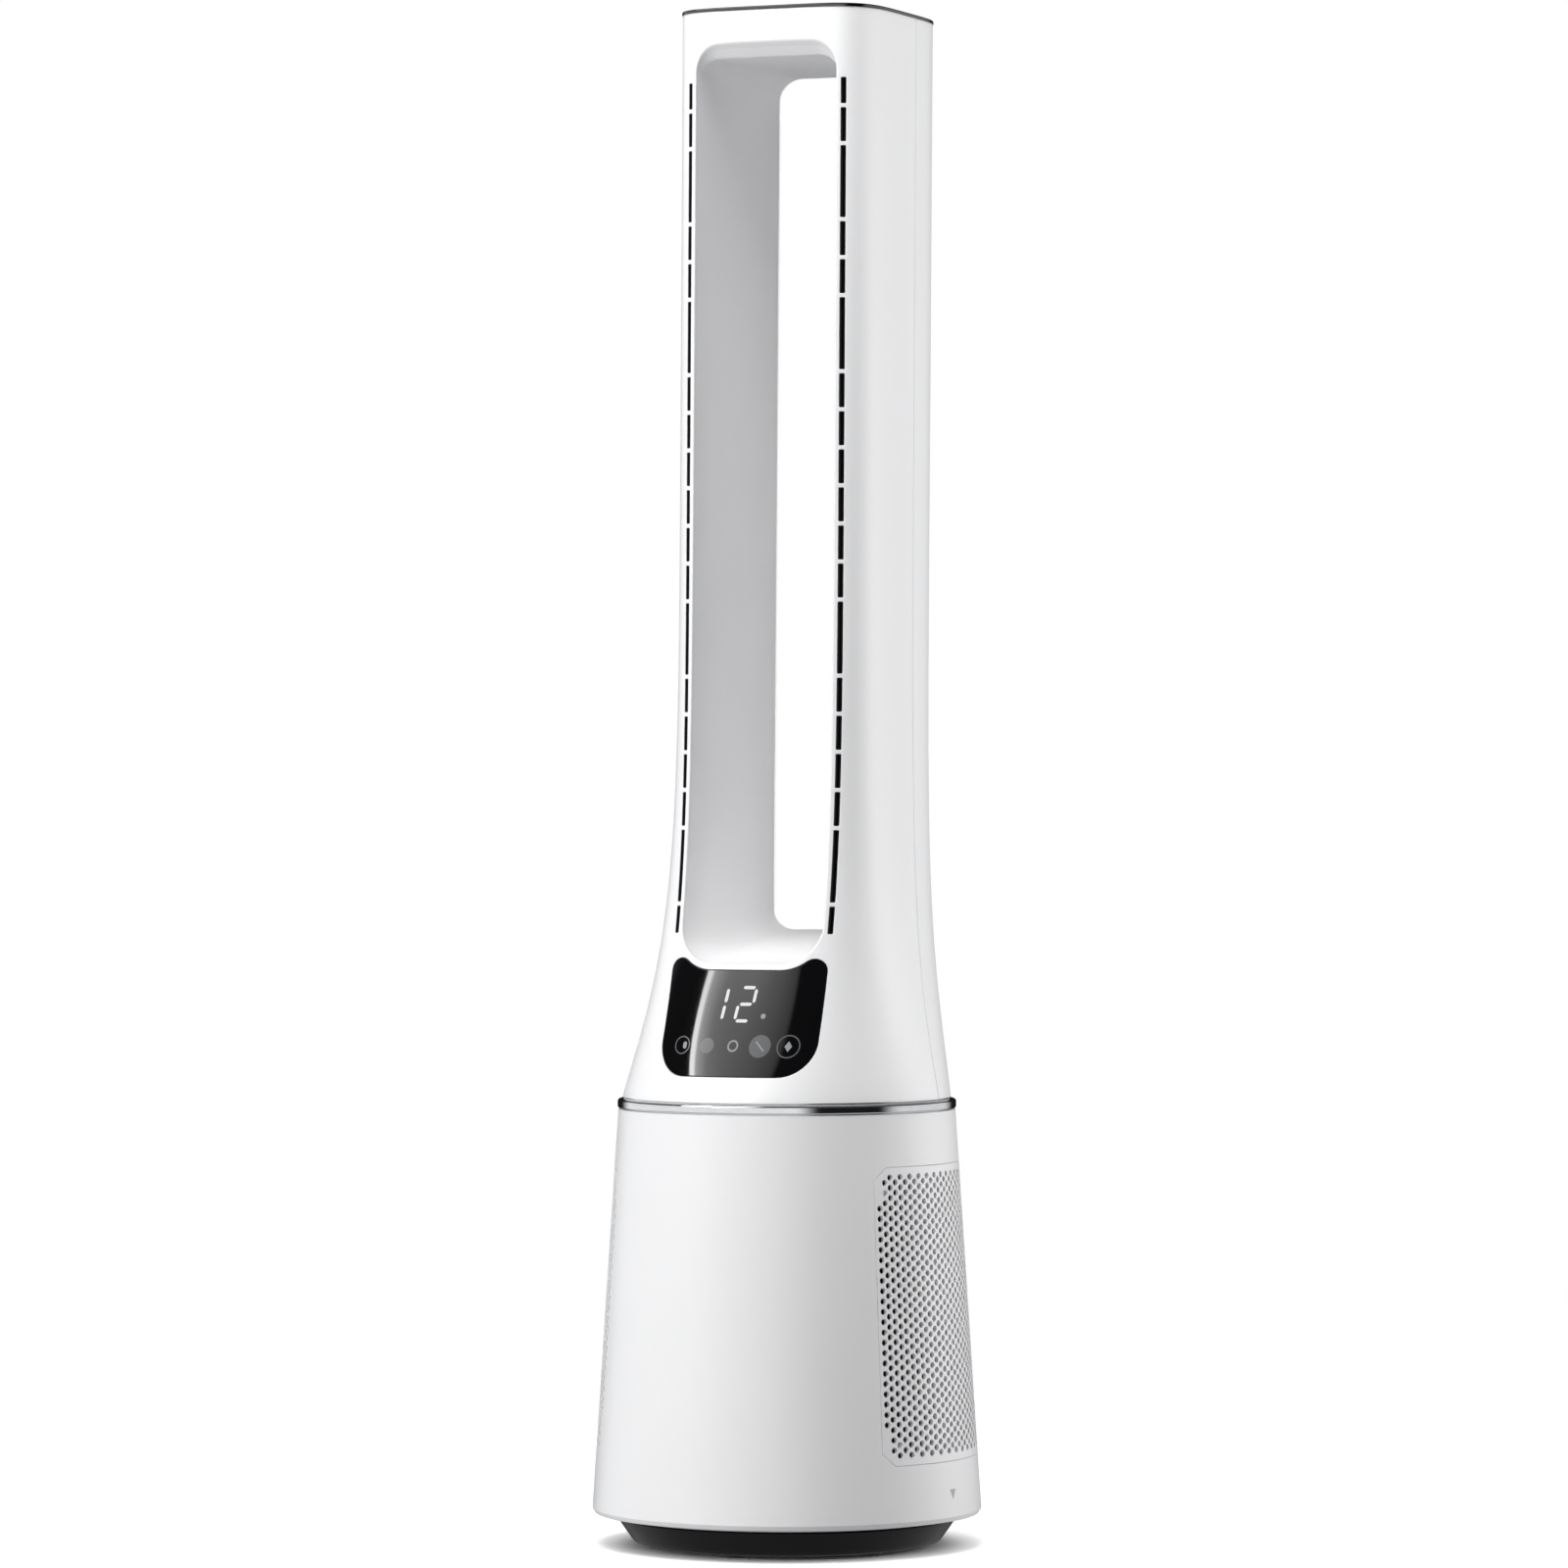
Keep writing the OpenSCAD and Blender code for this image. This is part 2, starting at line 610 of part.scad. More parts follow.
// Box that holds the filters at its open sides, with a round inlet in its roof
module filter_bay() color("lightgray") {
    side_wall_x = filter_x - 3.5;
    deck_top = turntable_z + turntable_t;
    difference() {
        union() {
            translate([0, 0, bay_low_z]) cylinder(r = bay_r + 10, h = bay_t);
            translate([0, 0, bay_high_z - bay_t]) cylinder(r = bay_r, h = bay_t);
            for (y = [-bay_half_y, bay_half_y - bay_t]) translate([-side_wall_x, y, bay_low_z])
                cube([2 * side_wall_x, bay_t, bay_high_z - bay_low_z]);
            for (side = [-1, 1]) {
                translate([side > 0 ? side_wall_x : -side_wall_x - bay_t, -bay_half_y, bay_low_z])
                    cube([bay_t, 2 * bay_half_y, bay_high_z - bay_low_z]);
                for (y = [-40, 37]) translate([side > 0 ? side_wall_x : -side_wall_x - 30, y, bay_low_z])
                    cube([30, rail_t, filter_low_z - fit_gap - 0.1 - bay_low_z]);
            }
            for (x = [-post_ring[0], post_ring[0]], y = [-post_ring[1], post_ring[1]])
                translate([x, y, deck_top]) cylinder(r = 5, h = bay_low_z - deck_top + 1);
            for (side = [-1, 1], y = [-peg_y, peg_y], z = peg_z) translate([side * (side_wall_x + 1), y, z])
                rotate([0, side * 90, 0]) cylinder(r = 5, h = peg_socket_x - side_wall_x - 1);
        }
        for (side = [-1, 1]) {
            translate([side * filter_x - 5, -filter_half_y + 8, filter_low_z + 8])
                cube([10, 2 * filter_half_y - 16, filter_high_z - filter_low_z - 16]);
            for (y = [-peg_y, peg_y], z = peg_z) translate([side * (peg_tip_x - 1), y, z])
                rotate([0, side * 90, 0]) cylinder(r = peg_r + 0.4, h = 20);
        }
        translate([0, 0, bay_high_z - bay_t - 1]) cylinder(r = 60, h = bay_t + 2);
        for (z = [bay_low_z, bay_high_z - bay_t]) translate([0, harness_y, z - 1])
            cylinder(r = harness_r + 1, h = bay_t + 2);
        for (x = [-post_ring[0], post_ring[0]], y = [-post_ring[1], post_ring[1]])
            translate([x, y, turntable_z]) cylinder(r = 1.65, h = 20);
        for (i = [0:2]) rotate(120 * i + 90) translate([lug_ring_r, 0, bay_high_z - bay_t - 1])
            cylinder(r = 1.95, h = bay_t + 2);
    }
}

module bay_screws() color("silver") for (x = [-post_ring[0], post_ring[0]], y = [-post_ring[1], post_ring[1]])
    translate([x, y, 0]) {
        translate([0, 0, turntable_z + 0.6]) cylinder(r = 3.4, h = 1.6);
        translate([0, 0, turntable_z + 2.2]) cylinder(r = 1.6, h = 12);
    }

// ---------- fan ----------

module inlet_guard() color("dimgray") translate([0, 0, bay_high_z]) {
    for (r = [16, 28, 40, 52]) rotate_extrude() translate([r, 0.9]) square([1.2, 1.6], center = true);
    for (i = [0:5]) rotate(60 * i) translate([0, -0.6, 0.1]) cube([64, 1.2, 1.6]);
    rotate_extrude() translate([62, 0.9]) square([4, 1.6], center = true);
}

module inlet_gasket() color("black") translate([0, 0, bay_high_z])
    rotate_extrude() translate([housing_r - 8, 0]) square([6, housing_low_z - bay_high_z]);

// Bell-mouthed tube round the impeller, with three lugs that stand on the bay's roof
module fan_housing() color("gainsboro") difference() {
    union() {
        rotate_extrude() polygon([
            [60, housing_low_z], [housing_r, housing_low_z], [housing_r, impeller_high_z + 6],
            [housing_r - housing_t, impeller_high_z + 6], [housing_r - housing_t, impeller_high_z - 6],
            [66, housing_low_z + 4], [62, housing_low_z + 2.6], [60, housing_low_z + 2.6]]);
        for (i = [0:2]) rotate(120 * i + 90) {
            translate([lug_ring_r, 0, bay_high_z]) cylinder(r = 5, h = 7);
            translate([housing_r - 1, -3, bay_high_z]) cube([lug_ring_r - housing_r, 6, 7]);
        }
    }
    for (i = [0:2])
        rotate(120 * i + 90) translate([lug_ring_r, 0, bay_high_z - 1]) cylinder(r = 1.95, h = 10);
}
module housing_screws() color("silver") for (i = [0:2]) rotate(120 * i + 90)
    translate([lug_ring_r, 0, bay_high_z]) {
        translate([0, 0, -bay_t - 2]) cylinder(r = 1.9, h = bay_t + 9);
        translate([0, 0, 7]) cylinder(r = 3.4, h = 2.2);
    }

function hub_r_at(share) = 20 + 22 * pow(share, 1.4);
function tip_r_at(share) = 58 + (impeller_r - 58) * share;
impeller_h = impeller_high_z - impeller_low_z;
impeller_steps = [for (i = [0:8]) i / 8];

module impeller_envelope() rotate_extrude() polygon(concat(
    [for (s = impeller_steps) [tip_r_at(s), impeller_low_z + impeller_h * s]],
    [[3, impeller_high_z], [3, impeller_low_z]]));

// Mixed-flow impeller: swept blades on a flaring hub
module impeller() color("lightgray") difference() {
    union() {
        rotate_extrude() polygon(concat([[3, impeller_low_z]],
            [for (s = impeller_steps) [hub_r_at(s), impeller_low_z + impeller_h * s]],
            [[3, impeller_high_z]]));
        intersection() {
            impeller_envelope();
            for (i = [0:blade_count - 1]) rotate(360 / blade_count * i)
                translate([0, 0, impeller_low_z]) linear_extrude(impeller_h) blade_outline();
        }
    }
    translate([0, 0, impeller_low_z - 1]) cylinder(r = shaft_r, h = impeller_h + 2);
    translate([0, 0, impeller_low_z - 1]) cylinder(r = 7.5, h = 6);
}
function blade_point(r, t) = let (a = 55 * (r - 12) / 64) [(r) * cos(a + t), r * sin(a + t)];
blade_radii = [for (i = [0:6]) 12 + 64 * i / 6];
module blade_outline() polygon(concat([for (r = blade_radii) blade_point(r, 0)],
    [for (i = [6:-1:0]) blade_point(blade_radii[i], 105 / blade_radii[i])]));

module rotor_shaft() color("silver") translate([0, 0, impeller_low_z + 1])
    cylinder(r = shaft_r, h = motor_low_z + motor_body_h - 3 - impeller_low_z);
module impeller_nut() color("silver") translate([0, 0, impeller_low_z]) difference() {
    cylinder(r = 6, h = 5, $fn = 6);
    translate([0, 0, -1]) cylinder(r = shaft_r, h = 7);
}

// Still vanes and hub above the impeller, which carry the motor
module diffuser() color("gainsboro") {
    low = impeller_high_z + 6;
    wall = 2.4;
    roof_z = motor_low_z + motor_body_h + mount_h;
    rotate_extrude() translate([housing_r - housing_t, low]) square([housing_t, diffuser_high_z - low]);
    rotate_extrude() polygon([[motor_r + 3, low], [motor_r + 3 + wall, low],
        [motor_r + 3 + wall, roof_z + wall], [0, roof_z + wall + 7], [0, roof_z], [motor_r + 3, roof_z]]);
    for (i = [0:vane_count - 1]) rotate(360 / vane_count * i) translate([motor_r + 4, -1, low + 1])
        rotate([18, 0, 0]) cube([housing_r - motor_r - 5.4, wall, diffuser_high_z - low - 2]);
}

module fan_motor() color("dimgray") difference() {
    union() {
        translate([0, 0, motor_low_z]) cylinder(r = motor_r, h = motor_body_h);
        translate([0, 0, motor_low_z - 1]) cylinder(r = 9, h = 2);
    }
    translate([0, 0, motor_low_z - 2]) cylinder(r = shaft_r + 0.05, h = motor_body_h);
}
module motor_mounts() color("black") for (i = [0:3])
    rotate(90 * i + 45) translate([motor_r - 7, 0, motor_low_z + motor_body_h]) cylinder(r = 4, h = mount_h);

// ---------- electronics ----------

module power_board() color("darkgreen") difference() {
    translate([-48, 26, 36]) cube([86, 50, 1.6]);
    for (x = [-44, 34], y = [30, 72]) translate([x, y, 35]) cylinder(r = 1.6, h = 4);
}
module board_parts() color("goldenrod") {
    translate([-40, 34, 27.5]) cube([24, 20, 8.5]);
    translate([2, 40, 26]) cylinder(r = 6, h = 10);
    translate([16, 40, 29]) cylinder(r = 4.5, h = 7);
    translate([-6, 58, 30]) cube([16, 9, 6]);
    translate([20, 56, 31]) cube([12, 14, 5]);
    for (x = [-44, 34], y = [30, 72]) translate([x, y, turntable_z + turntable_t]) cylinder(r = 3, h = 13.4);
}

// Quarter ring that joins the level run to the upright one
module harness_elbow() translate([0, harness_y + elbow_r, harness_low_z + elbow_r]) mirror([0, 1, 0])
    rotate([0, 90, 0]) rotate_extrude(angle = 90) translate([elbow_r, 0]) circle(harness_r, $fn = hull_fn);

// Runs forward from the power board, up in front of the filter bay and to a plug on the display board
module wire_harness() color("black") {
    start_y = 30;
    board_z = 37.6;
    translate([0, start_y, board_z]) cylinder(r = harness_r, h = harness_low_z - board_z);
    translate([0, harness_y + elbow_r, harness_low_z]) rotate([-90, 0, 0])
        cylinder(r = harness_r, h = start_y - harness_y - elbow_r + harness_r);
    harness_elbow();
    translate([0, harness_y, harness_low_z + elbow_r])
        cylinder(r = harness_r, h = harness_high_z + 1 - harness_low_z - elbow_r);
    translate([0, harness_y, harness_high_z - 1]) rotate([-harness_bend, 0, 0])
        cylinder(r = harness_r - 0.3, h = 19);
    on_board() translate([-7, board_t, -1]) cube([14, 5, 8]);
}

// ---------- base and swivel ----------

// Tooth flank of an involute at roll angle u, turned by a half-tooth angle
function involute(base, u) = let (arc = u * PI / 180)
    [base * (cos(u) + arc * sin(u)), base * (sin(u) - arc * cos(u))];
function turned(p, a) = [p[0] * cos(a) - p[1] * sin(a), p[0] * sin(a) + p[1] * cos(a)];
function roll_to(base, r) = r <= base ? 0 : sqrt(pow(r / base, 2) - 1) * 180 / PI;

// Outline of a spur gear with 20 degree teeth and a little backlash
function gear_outline(teeth, clearance = 0.35, backlash = 0.25) = let (
    pitch = gear_module * teeth / 2, base = pitch * cos(20), outer = pitch + 0.9 * gear_module,
    root = pitch - gear_module - clearance,
    tip_roll = roll_to(base, outer), pitch_roll = roll_to(base, pitch),
    at_pitch = atan2(involute(base, pitch_roll)[1], involute(base, pitch_roll)[0]),
    half = 90 / teeth - backlash / pitch * 90 / PI, start = roll_to(base, root), steps = 4,
    flank = [for (i = [0:steps]) involute(base, start + (tip_roll - start) * i / steps)],
    up = [for (p = flank) turned(p, -at_pitch - half)],
    down = [for (i = [steps:-1:0]) let (p = flank[i]) turned([p[0], -p[1]], at_pitch + half)],
    foot_angle = atan2(up[0][1], up[0][0]),
    root_low = turned([root, 0], foot_angle), root_high = turned([root, 0], -foot_angle))
    [for (t = [0:teeth - 1]) for (p = concat([root_low], up, down, [root_high])) turned(p, 360 / teeth * t)];

module sun_gear() color("ivory") difference() {
    translate([0, 0, gear_z]) linear_extrude(gear_t) polygon(gear_outline(sun_teeth));
    translate([0, 0, gear_z - 1]) cylinder(r = spindle_r + 0.1, h = gear_t + 2);
    for (i = [0:3]) rotate(90 * i + 45) translate([27, 0, gear_z - 1]) cylinder(r = 2.1, h = gear_t + 2);
}
module gear_screws() color("silver") for (i = [0:3]) rotate(90 * i + 45) translate([27, 0, 0]) {
    translate([0, 0, 6]) cylinder(r = 1.9, h = gear_z + gear_t - 6);
    translate([0, 0, gear_z + gear_t]) cylinder(r = 3.5, h = 2.2);
}

module drive_pinion() color("ivory") translate([pinion_x, 0, gear_z]) difference() {
    rotate(180 + 180 / pinion_teeth) linear_extrude(gear_t) polygon(gear_outline(pinion_teeth));
    translate([0, 0, -1]) cylinder(r = pinion_shaft_r, h = gear_t + 2);
}
module pinion_shaft() color("silver") translate([pinion_x, 0, gear_z]) cylinder(r = pinion_shaft_r, h = 14);

module swivel_motor() color("silver") translate([pinion_x, 0, turntable_z + turntable_t]) difference() {
    union() {
        cylinder(r = 14, h = 19);
        for (y = [-17.5, 17.5]) translate([0, y, 0]) cylinder(r = 3.5, h = 1);
        translate([-3.5, -17.5, 0]) cube([7, 35, 1]);
    }
    translate([0, 0, -1]) cylinder(r = pinion_shaft_r + 0.3, h = 9);
    for (y = [-17.5, 17.5]) translate([0, y, -1]) cylinder(r = 1.7, h = 4);
}
module swivel_motor_screws() color("dimgray") for (y = [-17.5, 17.5]) translate([pinion_x, y, 0]) {
    translate([0, 0, turntable_z + turntable_t + 1]) cylinder(r = 2.8, h = 1.8);
    translate([0, 0, turntable_z + 0.4]) cylinder(r = 1.5, h = turntable_t + 0.6);
}

// Track rib underneath and hub on top; holes for the pinion's shaft and the screws
module turntable() color("dimgray") difference() {
    union() {
        translate([0, 0, turntable_z]) cylinder(r = turntable_r, h = turntable_t);
        translate([0, 0, turntable_z]) cylinder(r = hub_r, h = hub_top_z - turntable_z);
        rotate_extrude() translate([ball_ring_r - 4, ball_z + ball_r + ball_play])
            square([8, turntable_z - ball_z - ball_r]);
    }
    translate([0, 0, turntable_z - 1]) cylinder(r = 18.5, h = 20);
    translate([pinion_x, 0, turntable_z - 1]) cylinder(r = pinion_shaft_r + 0.5, h = 6);
    for (y = [-17.5, 17.5]) translate([pinion_x, y, turntable_z - 1]) cylinder(r = 1.5, h = 6);
    for (x = [-post_ring[0], post_ring[0]], y = [-post_ring[1], post_ring[1]]) translate([x, y, 0]) {
        translate([0, 0, turntable_z - 1]) cylinder(r = 3.6, h = 3.2);
        translate([0, 0, turntable_z]) cylinder(r = 1.8, h = 6);
    }
    for (i = [0:shell_screw_count - 1]) rotate(360 / shell_screw_count * (i + 0.5))
        translate([shell_screw_r, 0, turntable_z]) {
            translate([0, 0, -1]) cylinder(r = 3.2, h = 2.6);
            cylinder(r = 1.7, h = 6);
        }
}
module hub_bush() color("ivory") translate([0, 0, turntable_z]) difference() {
    cylinder(r = 18.5, h = hub_top_z - turntable_z);
    translate([0, 0, -1]) cylinder(r = spindle_r + 0.06, h = 20);
}

spindle_flange_r = 22;
spindle_h = 28.5;
groove_depth = 1;
clip_t = 2;
clip_z = hub_top_z + 0.35;

// Flanged tube that the tower turns on, hollow for the supply lead
module spindle() color("silver") difference() {
    union() {
        translate([0, 0, dish_floor_z]) cylinder(r = spindle_r, h = spindle_h);
        translate([0, 0, dish_floor_z]) cylinder(r = spindle_flange_r, h = gear_z - dish_floor_z);
    }
    translate([0, 0, dish_floor_z - 1]) cylinder(r = spindle_bore_r, h = spindle_h + 2);
    rotate_extrude() translate([spindle_r - groove_depth, clip_z]) square([groove_depth + 1, clip_t]);
    translate([-cable_way_w / 2, 0, dish_floor_z - 1]) cube([cable_way_w, 30, 6]);
}
module retaining_ring() color("silver") translate([0, 0, clip_z]) difference() {
    cylinder(r = hub_r - 1, h = clip_t);
    translate([0, 0, -1]) cylinder(r = spindle_r - groove_depth, h = clip_t + 2);
    translate([0, -5, -1]) cube([40, 10, clip_t + 2]);
}

module bearing_cage() color("ivory") difference() {
    translate([0, 0, ball_z - 1]) rotate_extrude() translate([ball_ring_r - 6, 0]) square([12, 2]);
    for (i = [0:ball_count - 1]) rotate(360 / ball_count * i) translate([ball_ring_r, 0, ball_z - 2])
        cylinder(r = ball_r + 0.1, h = 4);
}
module bearing_balls() color("silver") for (i = [0:ball_count - 1])
    rotate(360 / ball_count * i) translate([ball_ring_r, 0, ball_z]) sphere(r = ball_r);

module ballast_plate() color("gray") difference() {
    translate([0, 0, dish_floor_z]) cylinder(r = 77, h = 5);
    translate([0, 0, dish_floor_z - 1]) cylinder(r = 38, h = 7);
    translate([-8, 0, dish_floor_z - 1]) cube([16, 90, 7]);
}

// Tapered dish with a boss for the gear, a ball track and pockets for the feet
module base_dish() color([0.08, 0.08, 0.09]) difference() {
    union() {
        rotate_extrude() polygon([
            [0, 2], [dish_foot_r - 4, 2], [dish_foot_r - 1.2, 2.8], [dish_foot_r, 4.6],
            [dish_rim_r, dish_rim_z], [dish_rim_r - dish_wall, dish_rim_z],
            [dish_foot_r - dish_wall, dish_floor_z + 1.4], [dish_foot_r - dish_wall - 2, dish_floor_z],
            [0, dish_floor_z]]);
        translate([0, 0, 4]) cylinder(r = 36, h = gear_z - 4);
        rotate_extrude() translate([ball_ring_r - 6, 4]) square([12, ball_z - ball_r - ball_play - 4]);
        translate([-9, 92, 4]) cube([18, gland_y - 92, 12]);
    }
    translate([0, 0, dish_floor_z]) cylinder(r = spindle_flange_r, h = 10);
    for (i = [0:3]) rotate(90 * i + 45) translate([27, 0, 5.5]) cylinder(r = 1.9, h = 10);
    for (i = [0:foot_count - 1]) rotate(360 / foot_count * i - 90) translate([foot_ring_r, 0, -1])
        cylinder(r = foot_r, h = 1 + foot_h);
    // way for a lead from the gland to the spindle, under the ball track
    translate([-cable_way_w / 2, 10, dish_floor_z]) cube([cable_way_w, 84, 7.6]);
    translate([0, 90, gland_z]) rotate([-90, 0, 0]) cylinder(r = gland_sleeve_r, h = 40);
    // flat seat for the gland's flange
    translate([-9.5, gland_y, dish_floor_z - 3.2]) cube([19, 20, 30]);
}
module feet() color([0.12, 0.12, 0.12]) for (i = [0:foot_count - 1])
    rotate(360 / foot_count * i - 90) translate([foot_ring_r, 0, 0]) cylinder(r = foot_r, h = foot_h);

// Sleeve with a flange, where a mains lead would enter the base
module cord_gland() color([0.1, 0.1, 0.1]) translate([0, gland_y, gland_z]) rotate([-90, 0, 0]) difference() {
    union() {
        translate([0, 0, -10.5]) cylinder(r = gland_sleeve_r, h = 12);
        cylinder(r1 = 6.2, r2 = 5.6, h = 3);
    }
    translate([0, 0, -20]) cylinder(r = gland_bore_r, h = 40);
}

// ---------- the fan ----------

base_dish();
feet();
ballast_plate();
spindle();
sun_gear();
gear_screws();
retaining_ring();
cord_gland();
bearing_cage();
bearing_balls();
turntable();
hub_bush();
swivel_motor();
swivel_motor_screws();
drive_pinion();
pinion_shaft();
power_board();
board_parts();
lower_shell();
shell_screws();
filter_bay();
bay_screws();
inlet_guard();
inlet_gasket();
fan_housing();
housing_screws();
diffuser();
fan_motor();
motor_mounts();
impeller();
rotor_shaft();
impeller_nut();
duct_collar();
collar_screws();
trim_ring();
column_front_shell();
column_rear_shell();
column_screws();
loop_liner();
flow_splitter();
left_nozzle();
right_nozzle();
display_glass();
display_carrier();
display_board();
led_module();
ir_receiver();
top_trim();
top_cap();
left_cover();
right_cover();
left_filter_frame();
right_filter_frame();
left_filter_media();
right_filter_media();
left_filter_tab();
right_filter_tab();
wire_harness();
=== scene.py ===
"""Bladeless tower fan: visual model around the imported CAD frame.

Lengths are in millimetres and become metres when a mesh is made.
The fan's front faces -Y and +Z is up.
"""

import json
import math
from dataclasses import dataclass

import bmesh
import bpy
import numpy as np
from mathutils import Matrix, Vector
from mathutils.geometry import delaunay_2d_cdt


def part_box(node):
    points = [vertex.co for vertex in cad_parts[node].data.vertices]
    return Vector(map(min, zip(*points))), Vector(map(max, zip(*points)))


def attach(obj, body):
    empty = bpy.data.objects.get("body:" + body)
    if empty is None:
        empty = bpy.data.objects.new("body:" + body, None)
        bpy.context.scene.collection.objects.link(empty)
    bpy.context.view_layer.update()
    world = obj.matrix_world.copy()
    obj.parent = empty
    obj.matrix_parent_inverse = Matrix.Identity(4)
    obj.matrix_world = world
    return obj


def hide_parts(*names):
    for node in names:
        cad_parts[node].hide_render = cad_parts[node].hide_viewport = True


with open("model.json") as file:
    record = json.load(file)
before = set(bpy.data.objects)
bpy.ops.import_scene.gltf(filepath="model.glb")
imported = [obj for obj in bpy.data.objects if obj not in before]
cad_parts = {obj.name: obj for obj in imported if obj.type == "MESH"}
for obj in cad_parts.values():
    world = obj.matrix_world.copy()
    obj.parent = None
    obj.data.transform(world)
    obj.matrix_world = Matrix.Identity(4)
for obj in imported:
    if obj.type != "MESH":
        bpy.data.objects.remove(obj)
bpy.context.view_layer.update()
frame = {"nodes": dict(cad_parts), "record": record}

MM = 0.001
UP = np.array([0.0, 0.0, 1.0])


def box_mm(node):
    """Lowest and highest corners of a CAD node in millimetres."""
    low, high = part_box(node)
    return np.array(low) / MM, np.array(high) / MM


# ---------- sizes taken from the frame ----------

COLUMN_LOW, COLUMN_HIGH = [corner[2] for corner in box_mm("column_front_shell")]
RING_LOW = box_mm("trim_ring")[0][2]
TOTAL_HIGH = box_mm("top_trim")[1][2]
RING_R = box_mm("trim_ring")[1][0]
DISH_R, _, DISH_HIGH = box_mm("base_dish")[1]
BODY_FOOT_R = box_mm("lower_shell")[1][0]

# ---------- column ----------

COWL_R = 107.0
HALF_TOP = 70.0
FRONT_TOP = 38.0
BACK_TOP = 111.0
LEAN = 0.016
FLARE_H = 85.0
POWER_TOP = 4.7
WALL = 2.5
SEAM_BACK = 16.0
SEAM_GAP = 0.4
FLAT_X = 60.0          # the skins follow x out to here and the outline's angle beyond
SKIN_U = 120.0         # skin coordinate of the seam


def flare(z):
    """Share of the foot's flare that is left at a height."""
    up = np.maximum(z - COLUMN_LOW, 0.0)
    return np.exp(-(up / FLARE_H) ** 1.15)


def blend(z, top):
    left = flare(z)
    return COWL_R * left + top * (1 - left)


def column_outline(z):
    """Half width, half depth, middle and roundness power of the column's outline at a height."""
    lean = (COLUMN_HIGH - z) * LEAN
    front, back = blend(z, FRONT_TOP + lean), blend(z, BACK_TOP - lean)
    power = POWER_TOP - (POWER_TOP - 2) * np.sqrt(flare(z))
    return blend(z, HALF_TOP), (back + front) / 2, (back - front) / 2, power


def face_y(x, z, side):
    """Front (side -1) or back (side 1) of the column at a distance x from the middle."""
    half, deep, mid, n = column_outline(z)
    share = np.clip(1 - np.abs(x / half) ** n, 0, 1)
    return mid + side * deep * share ** (1 / n)


def column_skin(side):
    """Surface of the front or back shell as a function of (u, z); u grows to the viewer's right."""

    def surface(u, z):
        u = np.asarray(u, float)
        z = np.asarray(z, float)
        half, deep, mid, n = column_outline(z)
        turn = np.where(u < 0, -1.0, 1.0) * -side
        flat_x = np.minimum(np.abs(u), FLAT_X)
        flat_y = face_y(flat_x, z, side)
        start = np.arctan2(FLAT_X, side * (face_y(FLAT_X, z, side) - mid))
        seam_y = mid + SEAM_BACK * (1 - flare(z)) + side * SEAM_GAP / 2
        seam_x = half * (1 - np.abs((seam_y - mid) / deep) ** n) ** (1 / n)
        end = np.arctan2(seam_x, side * (seam_y - mid))
        angle = start + (end - start) * (np.abs(u) - FLAT_X) / (SKIN_U - FLAT_X)
        reach = ((np.abs(np.sin(angle)) / half) ** n + (np.abs(np.cos(angle)) / deep) ** n) ** (-1 / n)
        on_flat = np.abs(u) <= FLAT_X
        x = np.where(on_flat, flat_x, reach * np.sin(angle)) * turn
        y = np.where(on_flat, flat_y, mid + side * reach * np.cos(angle))
        return np.stack([x, y, z + 0 * x], axis=-1)

    return surface


# ---------- mesh building ----------


def add_object(name, data):
    thing = bpy.data.objects.new(name, data)
    bpy.context.scene.collection.objects.link(thing)
    return thing


def unit(vectors):
    length = np.linalg.norm(vectors, axis=-1, keepdims=True)
    return vectors / np.maximum(length, 1e-12)


def surface_normals(surface, flat):
    """Outward unit normals of a surface at flat points (u, z)."""
    step = 0.02
    u, z = flat.T
    across = surface(u + step, z) - surface(u - step, z)
    upward = surface(u, z + step) - surface(u, z - step)
    return unit(np.cross(across, upward))


def on_surface(surface, flat):
    """Points and outward normals of a surface at flat points (u, z)."""
    return surface(*flat.T), surface_normals(surface, flat)


class Patches:
    """Collects patches of faces with their own normals and welds them into one smooth mesh."""

    def __init__(self):
        self.points = []
        self.normals = []
        self.faces = []
        self.total = 0

    def add(self, points, normals, faces):
        self.points.append(points)
        self.normals.append(normals)
        self.faces.extend([[i + self.total for i in face] for face in faces])
        self.total += len(points)

    def band(self, rows, normals, flip=False):
        """Quads between closed rows that all hold the same number of points."""
        count = len(rows[0])
        faces = []
        for row in range(len(rows) - 1):
            for i in range(count):
                j = (i + 1) % count
                a, b = row * count, (row + 1) * count
                face = [a + i, a + j, b + j, b + i]
                faces.append(face[::-1] if flip else face)
        self.add(np.vstack(rows), np.vstack(normals), faces)

    def build(self, name, material):
        points = np.vstack(self.points)
        normals = np.vstack(self.normals)
        rounded, place = np.unique(np.round(points, 4), axis=0, return_inverse=True)
        place = place.reshape(-1)
        faces, corner_normals = [], []
        for face in self.faces:
            corners = [int(place[i]) for i in face]
            kept = [k for k in range(len(corners)) if corners[k] != corners[k - 1]]
            if len(kept) < 3 or len({corners[k] for k in kept}) < 3:
                continue
            faces.append([corners[k] for k in kept])
            corner_normals.extend([normals[face[k]] for k in kept])
        mesh = bpy.data.meshes.new(name)
        mesh.from_pydata((rounded * MM).tolist(), [], faces)
        mesh.polygons.foreach_set("use_smooth", [True] * len(mesh.polygons))
        mesh.update()
        mesh.normals_split_custom_set([tuple(n) for n in corner_normals])
        mesh.materials.append(material)
        return add_object(name, mesh)


